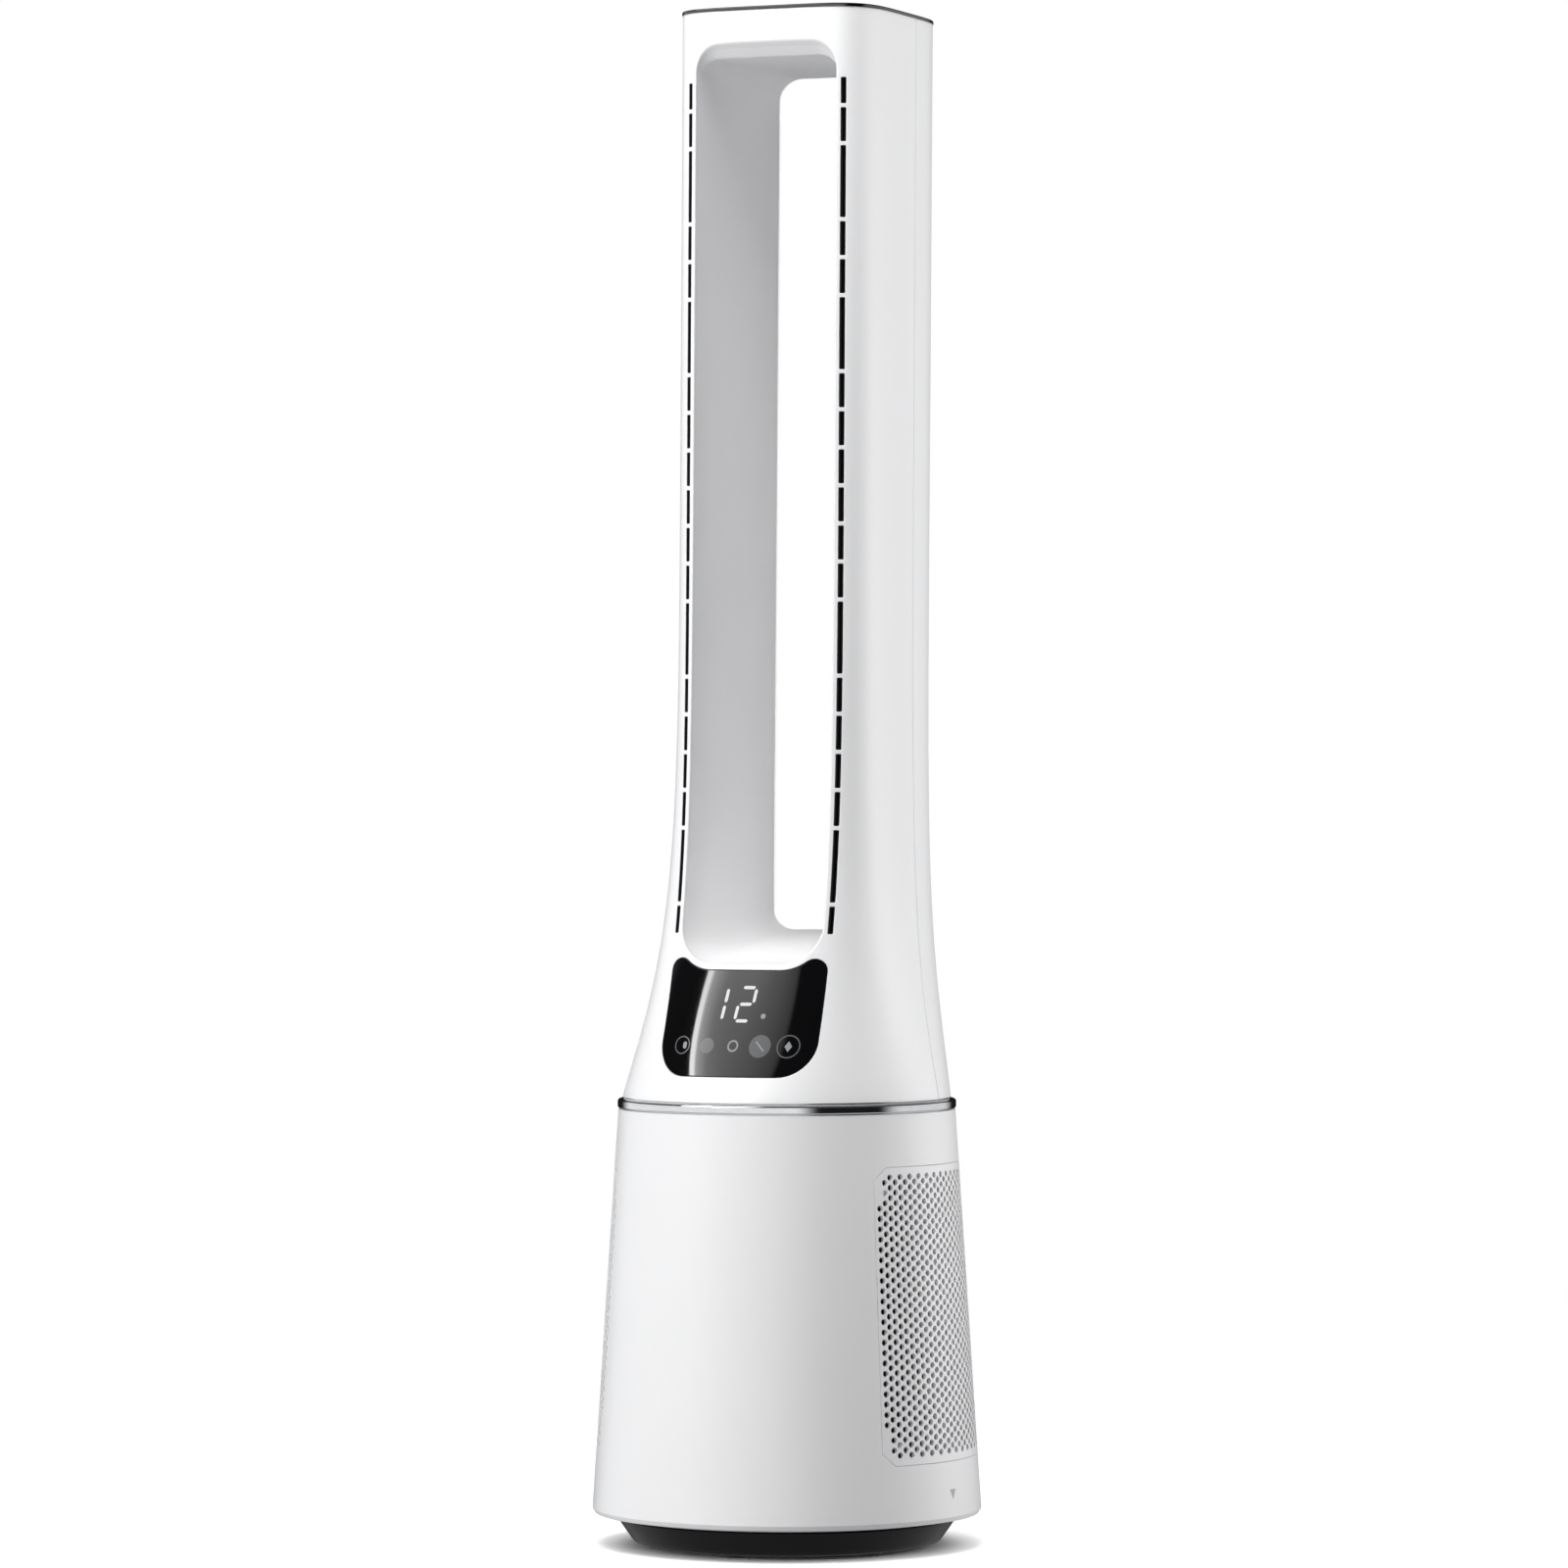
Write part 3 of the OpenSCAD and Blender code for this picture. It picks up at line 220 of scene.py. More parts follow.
def inside(points, ring):
    """Which flat points lie inside a closed ring."""
    x, y = points[:, :1], points[:, 1:2]
    x0, y0 = ring.T
    x1, y1 = np.roll(x0, -1), np.roll(y0, -1)
    crosses = (y0 > y) != (y1 > y)
    rise = np.where(y1 == y0, 1e-12, y1 - y0)
    left = x < (x1 - x0) * (y - y0) / rise + x0
    return (np.sum(crosses & left, axis=1) % 2) == 1


def clear_grid(us, zs, rings, gap):
    """Grid points that keep a gap from every ring and lie in none of the holes rings[1:]."""
    grid = np.array([(u, z) for z in zs for u in us]).reshape(-1, 2)
    for number, ring in enumerate(rings):
        low, high = ring.min(0) - gap, ring.max(0) + gap
        near = np.all((grid > low) & (grid < high), axis=1)
        picked = np.nonzero(near)[0]
        if len(picked) == 0:
            continue
        apart = np.linalg.norm(grid[picked][:, None] - ring[None], axis=2).min(1)
        in_ring = inside(grid[picked], ring)
        bad = (apart < gap) | (~in_ring if number == 0 else in_ring)
        grid = np.delete(grid, picked[bad], axis=0)
    return grid


def triangulate(rings, grid):
    """Triangles between the outer ring, the hole rings and the grid points.

    A triangle between three points of one ring lies inside that ring if it runs in the ring's order.
    """
    points = np.vstack(rings + [grid])
    edges, ring_of, start = [], np.full(len(points), -1), 0
    for number, ring in enumerate(rings):
        count = len(ring)
        edges += [(start + i, start + (i + 1) % count) for i in range(count)]
        ring_of[start:start + count] = number
        start += count
    found = delaunay_2d_cdt([Vector(p) for p in points.tolist()], edges, [], 0, 1e-5)
    origin = [sources[0] for sources in found[3]]
    faces = np.array([[origin[i] for i in face] for face in found[2]])
    owner = ring_of[faces]
    a, b, c = faces.T
    one_ring = (owner[:, 0] == owner[:, 1]) & (owner[:, 1] == owner[:, 2]) & (owner[:, 0] >= 0)
    in_ring = ((a < b) & (b < c)) | ((b < c) & (c < a)) | ((c < a) & (a < b))
    drop = one_ring & (in_ring != (owner[:, 0] == 0))
    return points, faces[~drop].tolist()


def ring_along(ring):
    """Direction of a closed ring at each of its points."""
    return unit(np.roll(ring, -1, 0) - ring) + unit(ring - np.roll(ring, 1, 0))


def ring_outward(ring):
    """Unit vectors that point out of a counterclockwise ring."""
    x, y = unit(ring_along(ring)).T
    return np.stack([y, -x], axis=1)


@dataclass
class Rim:
    """Edge of a panel: an outline, the radius that rounds it and the wall behind it."""
    outline: np.ndarray
    radius: float
    hole: bool = True
    wall: object = None
    steps: int = 3

    def moved(self, reach):
        """The outline moved onto the panel's face."""
        return self.outline + ring_outward(self.outline) * reach * (1 if self.hole else -1)

    def add_to(self, patches, surface, depth):
        """Adds the rounded edge and the wall; returns the wall's last row."""
        edge, edge_out = on_surface(surface, self.outline)
        facing = unit(edge - surface(*self.moved(0.05).T))
        wall_at = self.wall or (lambda reach: (edge - edge_out * reach, facing))
        first, first_out = on_surface(surface, self.moved(self.radius))
        low_point, low_normal = wall_at(self.radius)
        rows, normals = [first], [first_out]
        for step in range(1, self.steps + 1):
            share = step / self.steps
            rows.append(edge + (first - edge) * (1 - share) ** 2 + (low_point - edge) * share ** 2)
            normals.append(unit(edge_out * (1 - share) + low_normal * share))
        last, last_normal = wall_at(depth)
        rows.append(last)
        normals.append(last_normal)
        patches.band(rows, normals, flip=not self.hole)
        return last


def face_layer(surface, rings, us, zs, gap):
    """Points, outward normals and triangles of a surface inside the first ring and outside the others."""
    flat, faces = triangulate(rings, clear_grid(us, zs, rings, gap))
    return (*on_surface(surface, flat), faces)


def add_inner(patches, surface, rims, inner, normals, faces, row, depth, wall_depth=None):
    """Adds the rims' walls and the inner layer, whose points from row on are the walls' last rows."""
    for rim in rims:
        last = rim.add_to(patches, surface, wall_depth if rim.wall else depth)
        inner[row:row + len(last)] = last
        row += len(last)
    patches.add(inner, -normals, [face[::-1] for face in faces])


def add_panel(patches, surface, rims, us, zs, thickness, gap, wall_depth=None):
    """A closed shell: outer layer, rounded edges with walls, and inner layer."""
    patches.add(*face_layer(surface, [rim.moved(rim.radius) for rim in rims], us, zs, gap))
    points, normals, faces = face_layer(surface, [rim.outline for rim in rims], us, zs, gap)
    inner = points - normals * thickness
    add_inner(patches, surface, rims, inner, normals, faces, 0, thickness, wall_depth)


def arc(centre, radius, start, end, steps):
    """Points of an arc, both ends included; angles in degrees."""
    angles = np.radians(np.linspace(start, end, steps + 1))
    return [(centre[0] + radius * math.cos(a), centre[1] + radius * math.sin(a)) for a in angles]


def sampled(corners, step):
    """A closed ring with points added so that no side is longer than step."""
    corners = np.array(corners, float)
    ring = []
    for start, end in zip(corners, np.roll(corners, -1, 0)):
        parts = max(1, math.ceil(math.dist(start, end) / step))
        ring += [start + (end - start) * (part / parts) for part in range(parts)]
    return np.array(ring)


def rounded_box(u0, u1, z0, z1, radius, step, steps=3):
    """Counterclockwise ring of a rectangle with round corners."""
    left, right, low, high = u0 + radius, u1 - radius, z0 + radius, z1 - radius
    centres = ((right, low), (right, high), (left, high), (left, low))
    corners = [arc(centre, radius, 90 * i - 90, 90 * i, steps) for i, centre in enumerate(centres)]
    return sampled(sum(corners, []), step)


def turn_angles(steps):
    return np.linspace(0, 2 * math.pi, steps, endpoint=False)


def disc_ring(centre, radius, steps):
    angles = turn_angles(steps)
    return np.stack([centre[0] + radius * np.cos(angles), centre[1] + radius * np.sin(angles)], axis=1)


def rounded_profile(corners, closed=True):
    """Segments (start, start normal, end, end normal) of a profile whose corners are rounded.

    Each corner is (r, z, radius) and the profile runs counterclockwise, so its solid lies to the left.
    """
    count = len(corners)
    rows = []
    for i, (r, z, radius) in enumerate(corners):
        here = np.array([r, z], float)
        if radius <= 0 or (not closed and i in (0, count - 1)):
            rows.append([(here, None)])
            continue
        before = unit(np.array(corners[i - 1][:2], float) - here)
        after = unit(np.array(corners[(i + 1) % count][:2], float) - here)
        half_turn = math.acos(np.clip(before @ after, -1, 1)) / 2
        reach = radius / math.tan(half_turn)
        centre = here + unit(before + after) * radius / math.sin(half_turn)
        start, end = here + before * reach - centre, here + after * reach - centre
        across = np.array([-start[1], start[0]])
        steps = max(2, round((math.pi - 2 * half_turn) / 0.35))
        sweep = math.atan2(across @ end, start @ end)
        row = []
        for step in range(steps + 1):
            turn = sweep * step / steps
            spoke = start * math.cos(turn) + across * math.sin(turn)
            row.append((centre + spoke, unit(spoke) * math.copysign(1, sweep)))
        rows.append(row)
    parts = []
    for i in range(count if closed else count - 1):
        for (a, na), (b, nb) in zip(rows[i], rows[i][1:]):
            parts.append((a, na, b, nb))
        a, b = rows[i][-1][0], rows[(i + 1) % count][0][0]
        along = unit(b - a)
        normal = np.array([along[1], -along[0]])
        if np.linalg.norm(b - a) > 1e-6:
            parts.append((a, normal, b, normal))
    return parts


def sweep_profile(patches, parts, base, out):
    """Sweeps a profile of (distance out, height) round a closed path of base points and out directions."""
    for a, na, b, nb in parts:
        rows = [base + out * p[0] + UP * p[1] for p in (a, b)]
        normals = [unit(out * n[0] + UP * n[1]) for n in (na, nb)]
        patches.band(rows, normals)


def circle_path(steps):
    """Base points, all on the axis, and the directions out from it."""
    angles = turn_angles(steps)
    out = np.stack([np.sin(angles), -np.cos(angles), 0 * angles], axis=1)
    return 0 * out, out


def lathe(corners, steps=192):
    """A shape turned round the vertical axis."""
    patches = Patches()
    sweep_profile(patches, rounded_profile(corners), *circle_path(steps))
    return patches


def add_turned(patches, corners, steps, swap, place):
    """Adds a turned shape whose axes are swapped by a matrix and whose origin is moved to a place."""
    shape = lathe(corners, steps)
    swap = np.array(swap, float)
    faces = [face[::-1] for face in shape.faces] if np.linalg.det(swap) < 0 else shape.faces
    patches.add(np.vstack(shape.points) @ swap.T + place, np.vstack(shape.normals) @ swap.T, faces)


# ---------- materials ----------


def feed(tree, made, sockets):
    """Gives sockets of a node their values or links."""
    for socket, value in sockets.items():
        if isinstance(value, bpy.types.NodeSocket):
            tree.links.new(value, made.inputs[socket])
        else:
            made.inputs[socket].default_value = value


def node(tree, kind, sockets, **settings):
    """A new shader node with its settings and sockets."""
    made = tree.nodes.new("ShaderNode" + kind)
    for name, setting in settings.items():
        setattr(made, name, setting)
    feed(tree, made, sockets)
    return made


def map_range(tree, value, start, end, low, high, kind="LINEAR"):
    """Goes from low to high as the value goes from start to end."""
    sockets = {"Value": value, "From Min": start, "From Max": end, "To Min": low, "To Max": high}
    return node(tree, "MapRange", sockets, interpolation_type=kind).outputs["Result"]


def colour_ramp(tree, value, stops):
    """Colour that follows a value through stops of (position, colour)."""
    made = node(tree, "ValToRGB", {"Fac": value})
    elements = made.color_ramp.elements
    while len(elements) < len(stops):
        elements.new(0.5)
    for element, (position, colour) in zip(elements, stops):
        element.position = position
        element.color = (*colour, 1)
    return made.outputs["Color"]


def tint(colour, factor):
    return tuple(min(1.0, channel * factor) for channel in colour)


MATERIALS = {}


class Shader:
    """Short way to build a node material with one principled shader, kept under its name."""

    def __init__(self, name, roughness, metallic=0.0, **sockets):
        material = bpy.data.materials.new(name)
        material.use_nodes = True
        MATERIALS[name] = material
        self.tree = material.node_tree
        self.place = node(self.tree, "TexCoord", {}).outputs["Object"]
        self.feed(Roughness=roughness, Metallic=metallic, **sockets)

    def feed(self, **sockets):
        """Gives the shader's sockets values or links; _ stands for a space in a name."""
        named = {socket.replace("_", " "): value for socket, value in sockets.items()}
        feed(self.tree, self.tree.nodes["Principled BSDF"], named)

    def noise(self, scale, detail=3.0, stretch=(1, 1, 1)):
        """Noise value over the object, scale in grains per metre."""
        vector = node(self.tree, "Mapping", {"Scale": stretch, "Vector": self.place}).outputs["Vector"]
        sockets = {"Scale": scale, "Detail": detail, "Vector": vector}
        return node(self.tree, "TexNoise", sockets).outputs["Fac"]

    def colour(self, value, colour, low, high, start=0.3, end=0.7):
        """A colour whose brightness follows a value between two factors."""
        stops = ((start, tint(colour, low)), (end, tint(colour, high)))
        self.feed(Base_Color=colour_ramp(self.tree, value, stops))

    def rough(self, value, low, high):
        self.feed(Roughness=map_range(self.tree, value, 0, 1, low, high))

    def bump(self, value, strength, distance):
        sockets = {"Strength": strength, "Distance": distance, "Height": value}
        self.feed(Normal=node(self.tree, "Bump", sockets).outputs["Normal"])


def plastic(name, colour, roughness, grain=900, texture=0.04, spread=0.02, **sockets):
    """Moulded plastic: slight shade and gloss changes and a fine spark-eroded texture."""
    shader = Shader(name, roughness, **sockets)
    shader.colour(shader.noise(14, 2), colour, 1 - spread, 1 + spread)
    shader.rough(shader.noise(40, 4), roughness * 0.9, roughness * 1.1)
    shader.bump(shader.noise(grain, 2), texture, 0.0003)


def metal(name, colour, roughness, stretch=(1, 1, 1), grain=400, texture=0.02):
    """Metal with fine tool marks along one direction."""
    shader = Shader(name, roughness, metallic=1.0)
    marks = shader.noise(grain, 4, stretch)
    shader.colour(marks, colour, 0.93, 1.05)
    shader.rough(marks, roughness * 0.8, roughness * 1.25)
    shader.bump(marks, texture, 0.0002)


def rubber(name, colour):
    """Soft rubber with a dusty mottle."""
    shader = Shader(name, 0.75)
    shader.colour(shader.noise(60, 5), colour, 0.8, 1.3)
    shader.bump(shader.noise(2500, 2), 0.15, 0.0002)


def circuit_board(name, colour):
    """Solder mask over traces that show as slightly lighter lines."""
    shader = Shader(name, 0.35)
    sockets = {"Scale": 260, "Mortar Size": 0.06, "Vector": shader.place, "Color1": (*colour, 1),
               "Color2": (*tint(colour, 1.15), 1), "Mortar": (*tint(colour, 1.6), 1)}
    brick = node(shader.tree, "TexBrick", sockets)
    shader.feed(Base_Color=brick.outputs["Color"])
    shader.bump(brick.outputs["Fac"], 0.2, 0.0001)


def fibre(name, colour, grain, strength):
    """Paper or card: short fibres along one direction."""
    shader = Shader(name, 0.9)
    fibres = shader.noise(grain, 8, (1, 1, 0.35))
    shader.colour(fibres, colour, 0.88, 1.04)
    shader.bump(fibres, strength, 0.0004)


def woven(name, colour):
    """Narrow woven tape: two crossed waves of threads."""
    shader = Shader(name, 0.8)
    sockets = {"Scale": 420, "Distortion": 0.4, "Vector": shader.place}
    waves = [node(shader.tree, "TexWave", sockets, bands_direction=axis).outputs["Fac"] for axis in "YZ"]
    threads = node(shader.tree, "Math", dict(enumerate(waves)), operation="MULTIPLY").outputs["Value"]
    shader.colour(threads, colour, 0.6, 1.3, 0.1, 0.8)
    shader.bump(threads, 0.5, 0.0003)


def light_mark(name, print_level, strength):
    """Print on the panel with soft uneven white light behind it."""
    shader = Shader(name, 0.25, Specular_IOR_Level=0.25)
    shader.colour(shader.noise(300, 2), (print_level,) * 3, 0.9, 1)
    glow = colour_ramp(shader.tree, shader.noise(220, 2), ((0.3, (0.82, 0.9, 1.0)), (0.7, (1.0, 1.0, 1.0))))
    shader.feed(Emission_Color=glow, Emission_Strength=strength)


WHITE = (0.84, 0.84, 0.845)
plastic("white_shell", WHITE, 0.34, grain=700, texture=0.02, spread=0.006)
plastic("white_inner", (0.88, 0.88, 0.885), 0.5, grain=700, texture=0.05, spread=0.01)
plastic("black_base", (0.006, 0.006, 0.007), 0.32, texture=0.03, spread=0.2, Specular_IOR_Level=0.18)
# Near-black nozzle plastic; the near-black also paints the shade deep inside the air slots.
plastic("black_nozzle", (0.012, 0.012, 0.012), 0.6, texture=0.1, spread=0.3)
plastic("display_glass", (0.002, 0.002, 0.0025), 0.06, grain=300, texture=0.0,
        spread=0.2, Specular_IOR_Level=0.35)
light_mark("display_light", 0.3, 0.42)
metal("chrome_trim", (0.86, 0.87, 0.88), 0.09, (1, 1, 12), 120, 0.01)
plastic("inner_plastic", (0.5, 0.51, 0.52), 0.5, texture=0.08, spread=0.04)
plastic("dark_plastic", (0.05, 0.05, 0.055), 0.5, texture=0.1, spread=0.1)
plastic("gear_plastic", (0.78, 0.75, 0.66), 0.42, texture=0.05, spread=0.03)
metal("steel", (0.56, 0.57, 0.58), 0.32, (1, 1, 6))
plastic("cast_weight", (0.12, 0.12, 0.125), 0.7, grain=500, texture=0.5, spread=0.15)
rubber("rubber", (0.03, 0.03, 0.03))
circuit_board("board", (0.02, 0.16, 0.06))
plastic("components", (0.55, 0.4, 0.08), 0.5, texture=0.1, spread=0.1)
fibre("filter_paper", (0.06, 0.06, 0.062), 500, 0.6)
fibre("filter_frame", (0.035, 0.035, 0.036), 260, 0.3)
plastic("grey_print", (0.42, 0.42, 0.43), 0.5, spread=0.1)
woven("pull_tab", (0.03, 0.05, 0.1))
light_mark("touch_light", 0.1, 0.2)
light_mark("touch_light_dim", 0.06, 0.055)
metal("dark_chrome", (0.12, 0.12, 0.125), 0.12, (1, 1, 12), 120, 0.01)
SLOT_OF = {part["node"]: part["material_slot"] for part in frame["record"]["subparts"]}
for cad_name, cad_object in frame["nodes"].items():
    cad_object.data.materials.clear()
    cad_object.data.materials.append(MATERIALS[SLOT_OF[cad_name]])


def place_piece(piece, body, slot, *nodes):
    """Puts a finished piece on its body and hides the CAD nodes it stands in for."""
    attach(piece, body)
    if nodes:
        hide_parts(*nodes)


def finish_piece(patches, name, body, slot, *nodes, look=None):
    """Builds a piece, by default in the material of its slot, and places it."""
    place_piece(patches.build(name, MATERIALS[look or slot]), body, slot, *nodes)


# ---------- loop opening ----------

OPEN_HALF = 49.3
OPEN_TOP = 967.5
OPEN_TOP_R = 15.0
FLOOR_Z = 380.3
FLOOR_RISE = 0.113
FLOOR_MARK_Y = -60.0
FRONT_MARK_Y = -68.0
BACK_MARK_Y = 112.0
FLOOR_R_FRONT = 25.0
FLOOR_R_BACK = 12.0
BEVEL_START_Y = -29.0
BEVEL_SOFT = 0.5
LIP_DEPTH = 3.5


def floor_z(y):
    return FLOOR_Z + FLOOR_RISE * (y - FLOOR_MARK_Y)


def floor_r(y):
    share = (y - FRONT_MARK_Y) / (BACK_MARK_Y - FRONT_MARK_Y)
    return FLOOR_R_FRONT + (FLOOR_R_BACK - FLOOR_R_FRONT) * share


def roof_z(y):
    """Top of the opening, lifted towards the front by the bevel."""
    ahead = BEVEL_START_Y - y
    return OPEN_TOP + (ahead + np.sqrt(ahead ** 2 + 4 * BEVEL_SOFT ** 2)) / 2


def opening_samples():
    """Rows (corner, angle, next corner, its angle, share) counterclockwise round the opening."""
    arc_steps, side_parts, flat_parts = 12, 72, 12
    rows = []
    for corner in range(4):
        start, follower = 90 * corner - 90, (corner + 1) % 4
        for step in range(arc_steps + 1):
            angle = start + 90 * step / arc_steps
            rows.append((corner, angle, corner, angle, 0.0))
        parts = side_parts if corner in (0, 2) else flat_parts
        for part in range(1, parts):
            rows.append((corner, start + 90, follower, 90 * follower - 90, part / parts))
    return np.array(rows)


SAMPLES = opening_samples()


def tunnel(y, grow=0.0):
    """The opening's wall at each sample, at the distances y from the axis."""

    def arc_point(corner, angle):
        right = np.where((corner == 0) | (corner == 1), 1.0, -1.0)
        low = (corner == 0) | (corner == 3)
        radius = np.where(low, floor_r(y), OPEN_TOP_R)
        x = right * (OPEN_HALF - radius)
        z = np.where(low, floor_z(y) + radius, roof_z(y) - radius)
        return x + (radius + grow) * np.cos(angle), z + (radius + grow) * np.sin(angle)

    x0, z0 = arc_point(SAMPLES[:, 0], np.radians(SAMPLES[:, 1]))
    x1, z1 = arc_point(SAMPLES[:, 2], np.radians(SAMPLES[:, 3]))
    share = SAMPLES[:, 4]
    return np.stack([x0 + (x1 - x0) * share, y + 0 * x0, z0 + (z1 - z0) * share], axis=1)


def tunnel_normals(y):
    """Unit normals of the tunnel's wall that point into the opening."""
    ring = tunnel(y)
    return unit(np.cross(ring_along(ring), tunnel(y + 0.05) - ring))


def edge_y(side):
    """Where each sample line of the tunnel meets the front (-1) or back (1) skin."""
    y = np.full(len(SAMPLES), -60.0 if side < 0 else 105.0)
    for _ in range(60):
        ring = tunnel(y)
        y = face_y(ring[:, 0], ring[:, 2], side)
    return y


def opening_rim(side, radius):
    """Rim of the loop opening in a column skin."""
    y_edge = edge_y(side)
    order = np.arange(len(SAMPLES))
    if side > 0:
        order = order[::-1]

    def wall_at(reach):
        y = y_edge - side * reach
        return tunnel(y)[order], tunnel_normals(y)[order]

    ring = tunnel(y_edge)[order]
    outline = np.stack([ring[:, 0] * -side, ring[:, 2]], axis=1)
    return Rim(outline, radius, wall=wall_at, steps=4)


# ---------- column shells ----------

SLOT_X = 54.0
SLOT_W = 3.2
SLOT_LOW = 399.0
SLOT_HIGH = 952.0
RIB_PITCH = 24.56
RIB_W = 2.6
FIRST_RIB = SLOT_HIGH - 18.3
RIB_COUNT = 22
SKIPPED_RIBS = (2, 6, 14, 20)

GLASS_HALF = 54.5
GLASS_LOW = 308.0
GLASS_FOOT_R = 22.0
GLASS_EAR_R = 8.0
GLASS_RIM = 3.7
GLASS_GAP = 0.2


def dash_rings():
    """Outlines of the dashes of both air slots."""
    ribs = [FIRST_RIB - i * RIB_PITCH for i in range(RIB_COUNT) if i not in SKIPPED_RIBS]
    tops = [SLOT_HIGH] + [z - RIB_W / 2 for z in ribs]
    feet = [z + RIB_W / 2 for z in ribs] + [SLOT_LOW]
    return [rounded_box(side * SLOT_X - SLOT_W / 2, side * SLOT_X + SLOT_W / 2, foot, top, 0.6, 6.0, 2)
            for side in (-1, 1) for foot, top in zip(feet, tops)]


def glass_ring(grow=0.0):
    """Counterclockwise outline of the display panel, which hugs the opening's lower corners."""
    corner_x = OPEN_HALF - FLOOR_R_FRONT
    corner_z = floor_z(FRONT_MARK_Y) + FLOOR_R_FRONT
    hollow_r = FLOOR_R_FRONT + GLASS_RIM
    ear_x = GLASS_HALF - GLASS_EAR_R
    ear_z = corner_z - math.sqrt((hollow_r + GLASS_EAR_R) ** 2 - (ear_x - corner_x) ** 2)
    meet = math.degrees(math.atan2(ear_z - corner_z, ear_x - corner_x))
    foot = (GLASS_HALF - GLASS_FOOT_R, GLASS_LOW + GLASS_FOOT_R)
    ring = arc(foot, GLASS_FOOT_R + grow, -90, 0, 14)
    ring += arc((ear_x, ear_z), GLASS_EAR_R + grow, 0, meet + 180, 12)
    ring += arc((corner_x, corner_z), hollow_r - grow, meet, -90, 8)[1:]
    mirrored = [(-x, z) for x, z in reversed(ring)]
    return sampled(ring + mirrored, 4.0)


def spread(low, high, step):
    return np.linspace(low, high, max(2, round((high - low) / step) + 1))


SKIN_COLUMNS = np.concatenate([-spread(FLAT_X, SKIN_U, 2.6)[::-1], spread(-FLAT_X, FLAT_X, 4.0)[1:-1],
                               spread(FLAT_X, SKIN_U, 2.6)])
SKIN_ROWS = np.concatenate([spread(COLUMN_LOW, 420, 4.0), spread(420, COLUMN_HIGH, 9.0)[1:]])


def grid_border(us, zs):
    """Counterclockwise ring round a grid, with a point at each of its rows and columns."""
    ring = [(u, zs[0]) for u in us] + [(us[-1], z) for z in zs[1:]]
    ring += [(u, zs[-1]) for u in us[::-1][1:]] + [(us[0], z) for z in zs[::-1][1:-1]]
    return np.array(ring)


def column_shell(name, side, rims, cad_name):
    patches = Patches()
    rims = [Rim(grid_border(SKIN_COLUMNS, SKIN_ROWS), 0.5, hole=False)] + rims
    add_panel(patches, column_skin(side), rims, SKIN_COLUMNS[1:-1], SKIN_ROWS[1:-1], WALL, 1.6, LIP_DEPTH)
    finish_piece(patches, name, "tower", "white_shell", cad_name)


def make_column():
    front_rims = [opening_rim(-1, 1.3)]
    front_rims += [Rim(ring, 0.35, steps=2) for ring in dash_rings()]
    front_rims.append(Rim(glass_ring(GLASS_GAP), 0.5))
    column_shell("column_front", -1, front_rims, "column_front_shell")
    column_shell("column_rear", 1, [opening_rim(1, 2.0)], "column_rear_shell")


def make_slot_lips():
    """Black lips of the nozzle channels, which line the dashes of the air slots; the black is partly the
    nozzle's own colour and partly painted shade standing in for the dark deep inside the slots.
    """
    surface = column_skin(-1)
    lip_w, high_d, low_d = 0.5, 0.3, 4.0
    patches = Patches()
    for ring in dash_rings():
        out = ring_outward(ring)
        outer, inner = ring - out * 0.04, ring - out * (0.04 + lip_w)

        def row(flat, depth):
            points, out = on_surface(surface, flat)
            return points - out * depth

        side = unit(row(inner, low_d) - row(outer, low_d))
        face = surface_normals(surface, ring)
        corners = [row(outer, high_d), row(inner, high_d), row(inner, low_d), row(outer, low_d)]
        for i, normal in enumerate((face, side, -face, -side)):
            patches.band([corners[i], corners[(i + 1) % 4]], [normal, normal])
    finish_piece(patches, "air_slot_lips", "tower", "black_nozzle")


def make_loop_wall():
    """Inner wall of the loop, from the front shell's lip to the rear shell's."""
    gap = 0.05
    liner_t = 1.8
    front = edge_y(-1) + LIP_DEPTH + gap
    back = edge_y(1) - LIP_DEPTH - gap
    bend = np.maximum(BEVEL_START_Y + 2.5, front + 1.0)
    levels = [front + (bend - front) * share for share in np.linspace(0, 1, 9)]
    levels += [bend + (back - bend) * share for share in np.linspace(0, 1, 22)[1:]]
    patches = Patches()
    inner = [tunnel(y) for y in levels]
    normals = [tunnel_normals(y) for y in levels]
    patches.band(inner, normals)
    outer = [tunnel(y, liner_t) for y in levels]
    patches.band(outer, [-n for n in normals], flip=True)
    for end, facing in ((0, -1.0), (-1, 1.0)):
        normal = np.tile([0.0, facing, 0.0], (len(SAMPLES), 1))
        patches.band([outer[end], inner[end]], [normal, normal], flip=facing > 0)
    finish_piece(patches, "loop_inner_wall", "tower", "white_inner", "loop_liner")


# ---------- display ----------

GLASS_T = 2.2


def make_display_panel():
    surface = column_skin(-1)
    patches = Patches()
    ring = glass_ring()
    us, zs = spread(-52, 52, 4.0), spread(GLASS_LOW + 3, 384, 4.0)
    add_panel(patches, surface, [Rim(ring, 0.5, hole=False)], us, zs, GLASS_T, 1.6)
    finish_piece(patches, "display_panel", "tower", "display_glass", "display_glass")


MARK_LIFT = 0.06
MARK_SINK = 0.05


def add_mark(patches, ring, holes=()):
    """Thin lit shape that follows the panel, from just under its face to just proud of it."""
    surface = column_skin(-1)

    def lifted(u, z):
        flat = np.stack([np.ravel(u), np.ravel(z)], axis=1)
        return surface(u, z) + surface_normals(surface, flat).reshape(np.shape(u) + (3,)) * MARK_LIFT

    rims = [Rim(ring, 0.03, hole=False, steps=1)] + [Rim(h, 0.03, steps=1) for h in holes]
    low, high = ring.min(0), ring.max(0)
    us, zs = spread(low[0], high[0], 2.5), spread(low[1], high[1], 2.5)
    add_panel(patches, lifted, rims, us, zs, MARK_LIFT + MARK_SINK, 0.7)


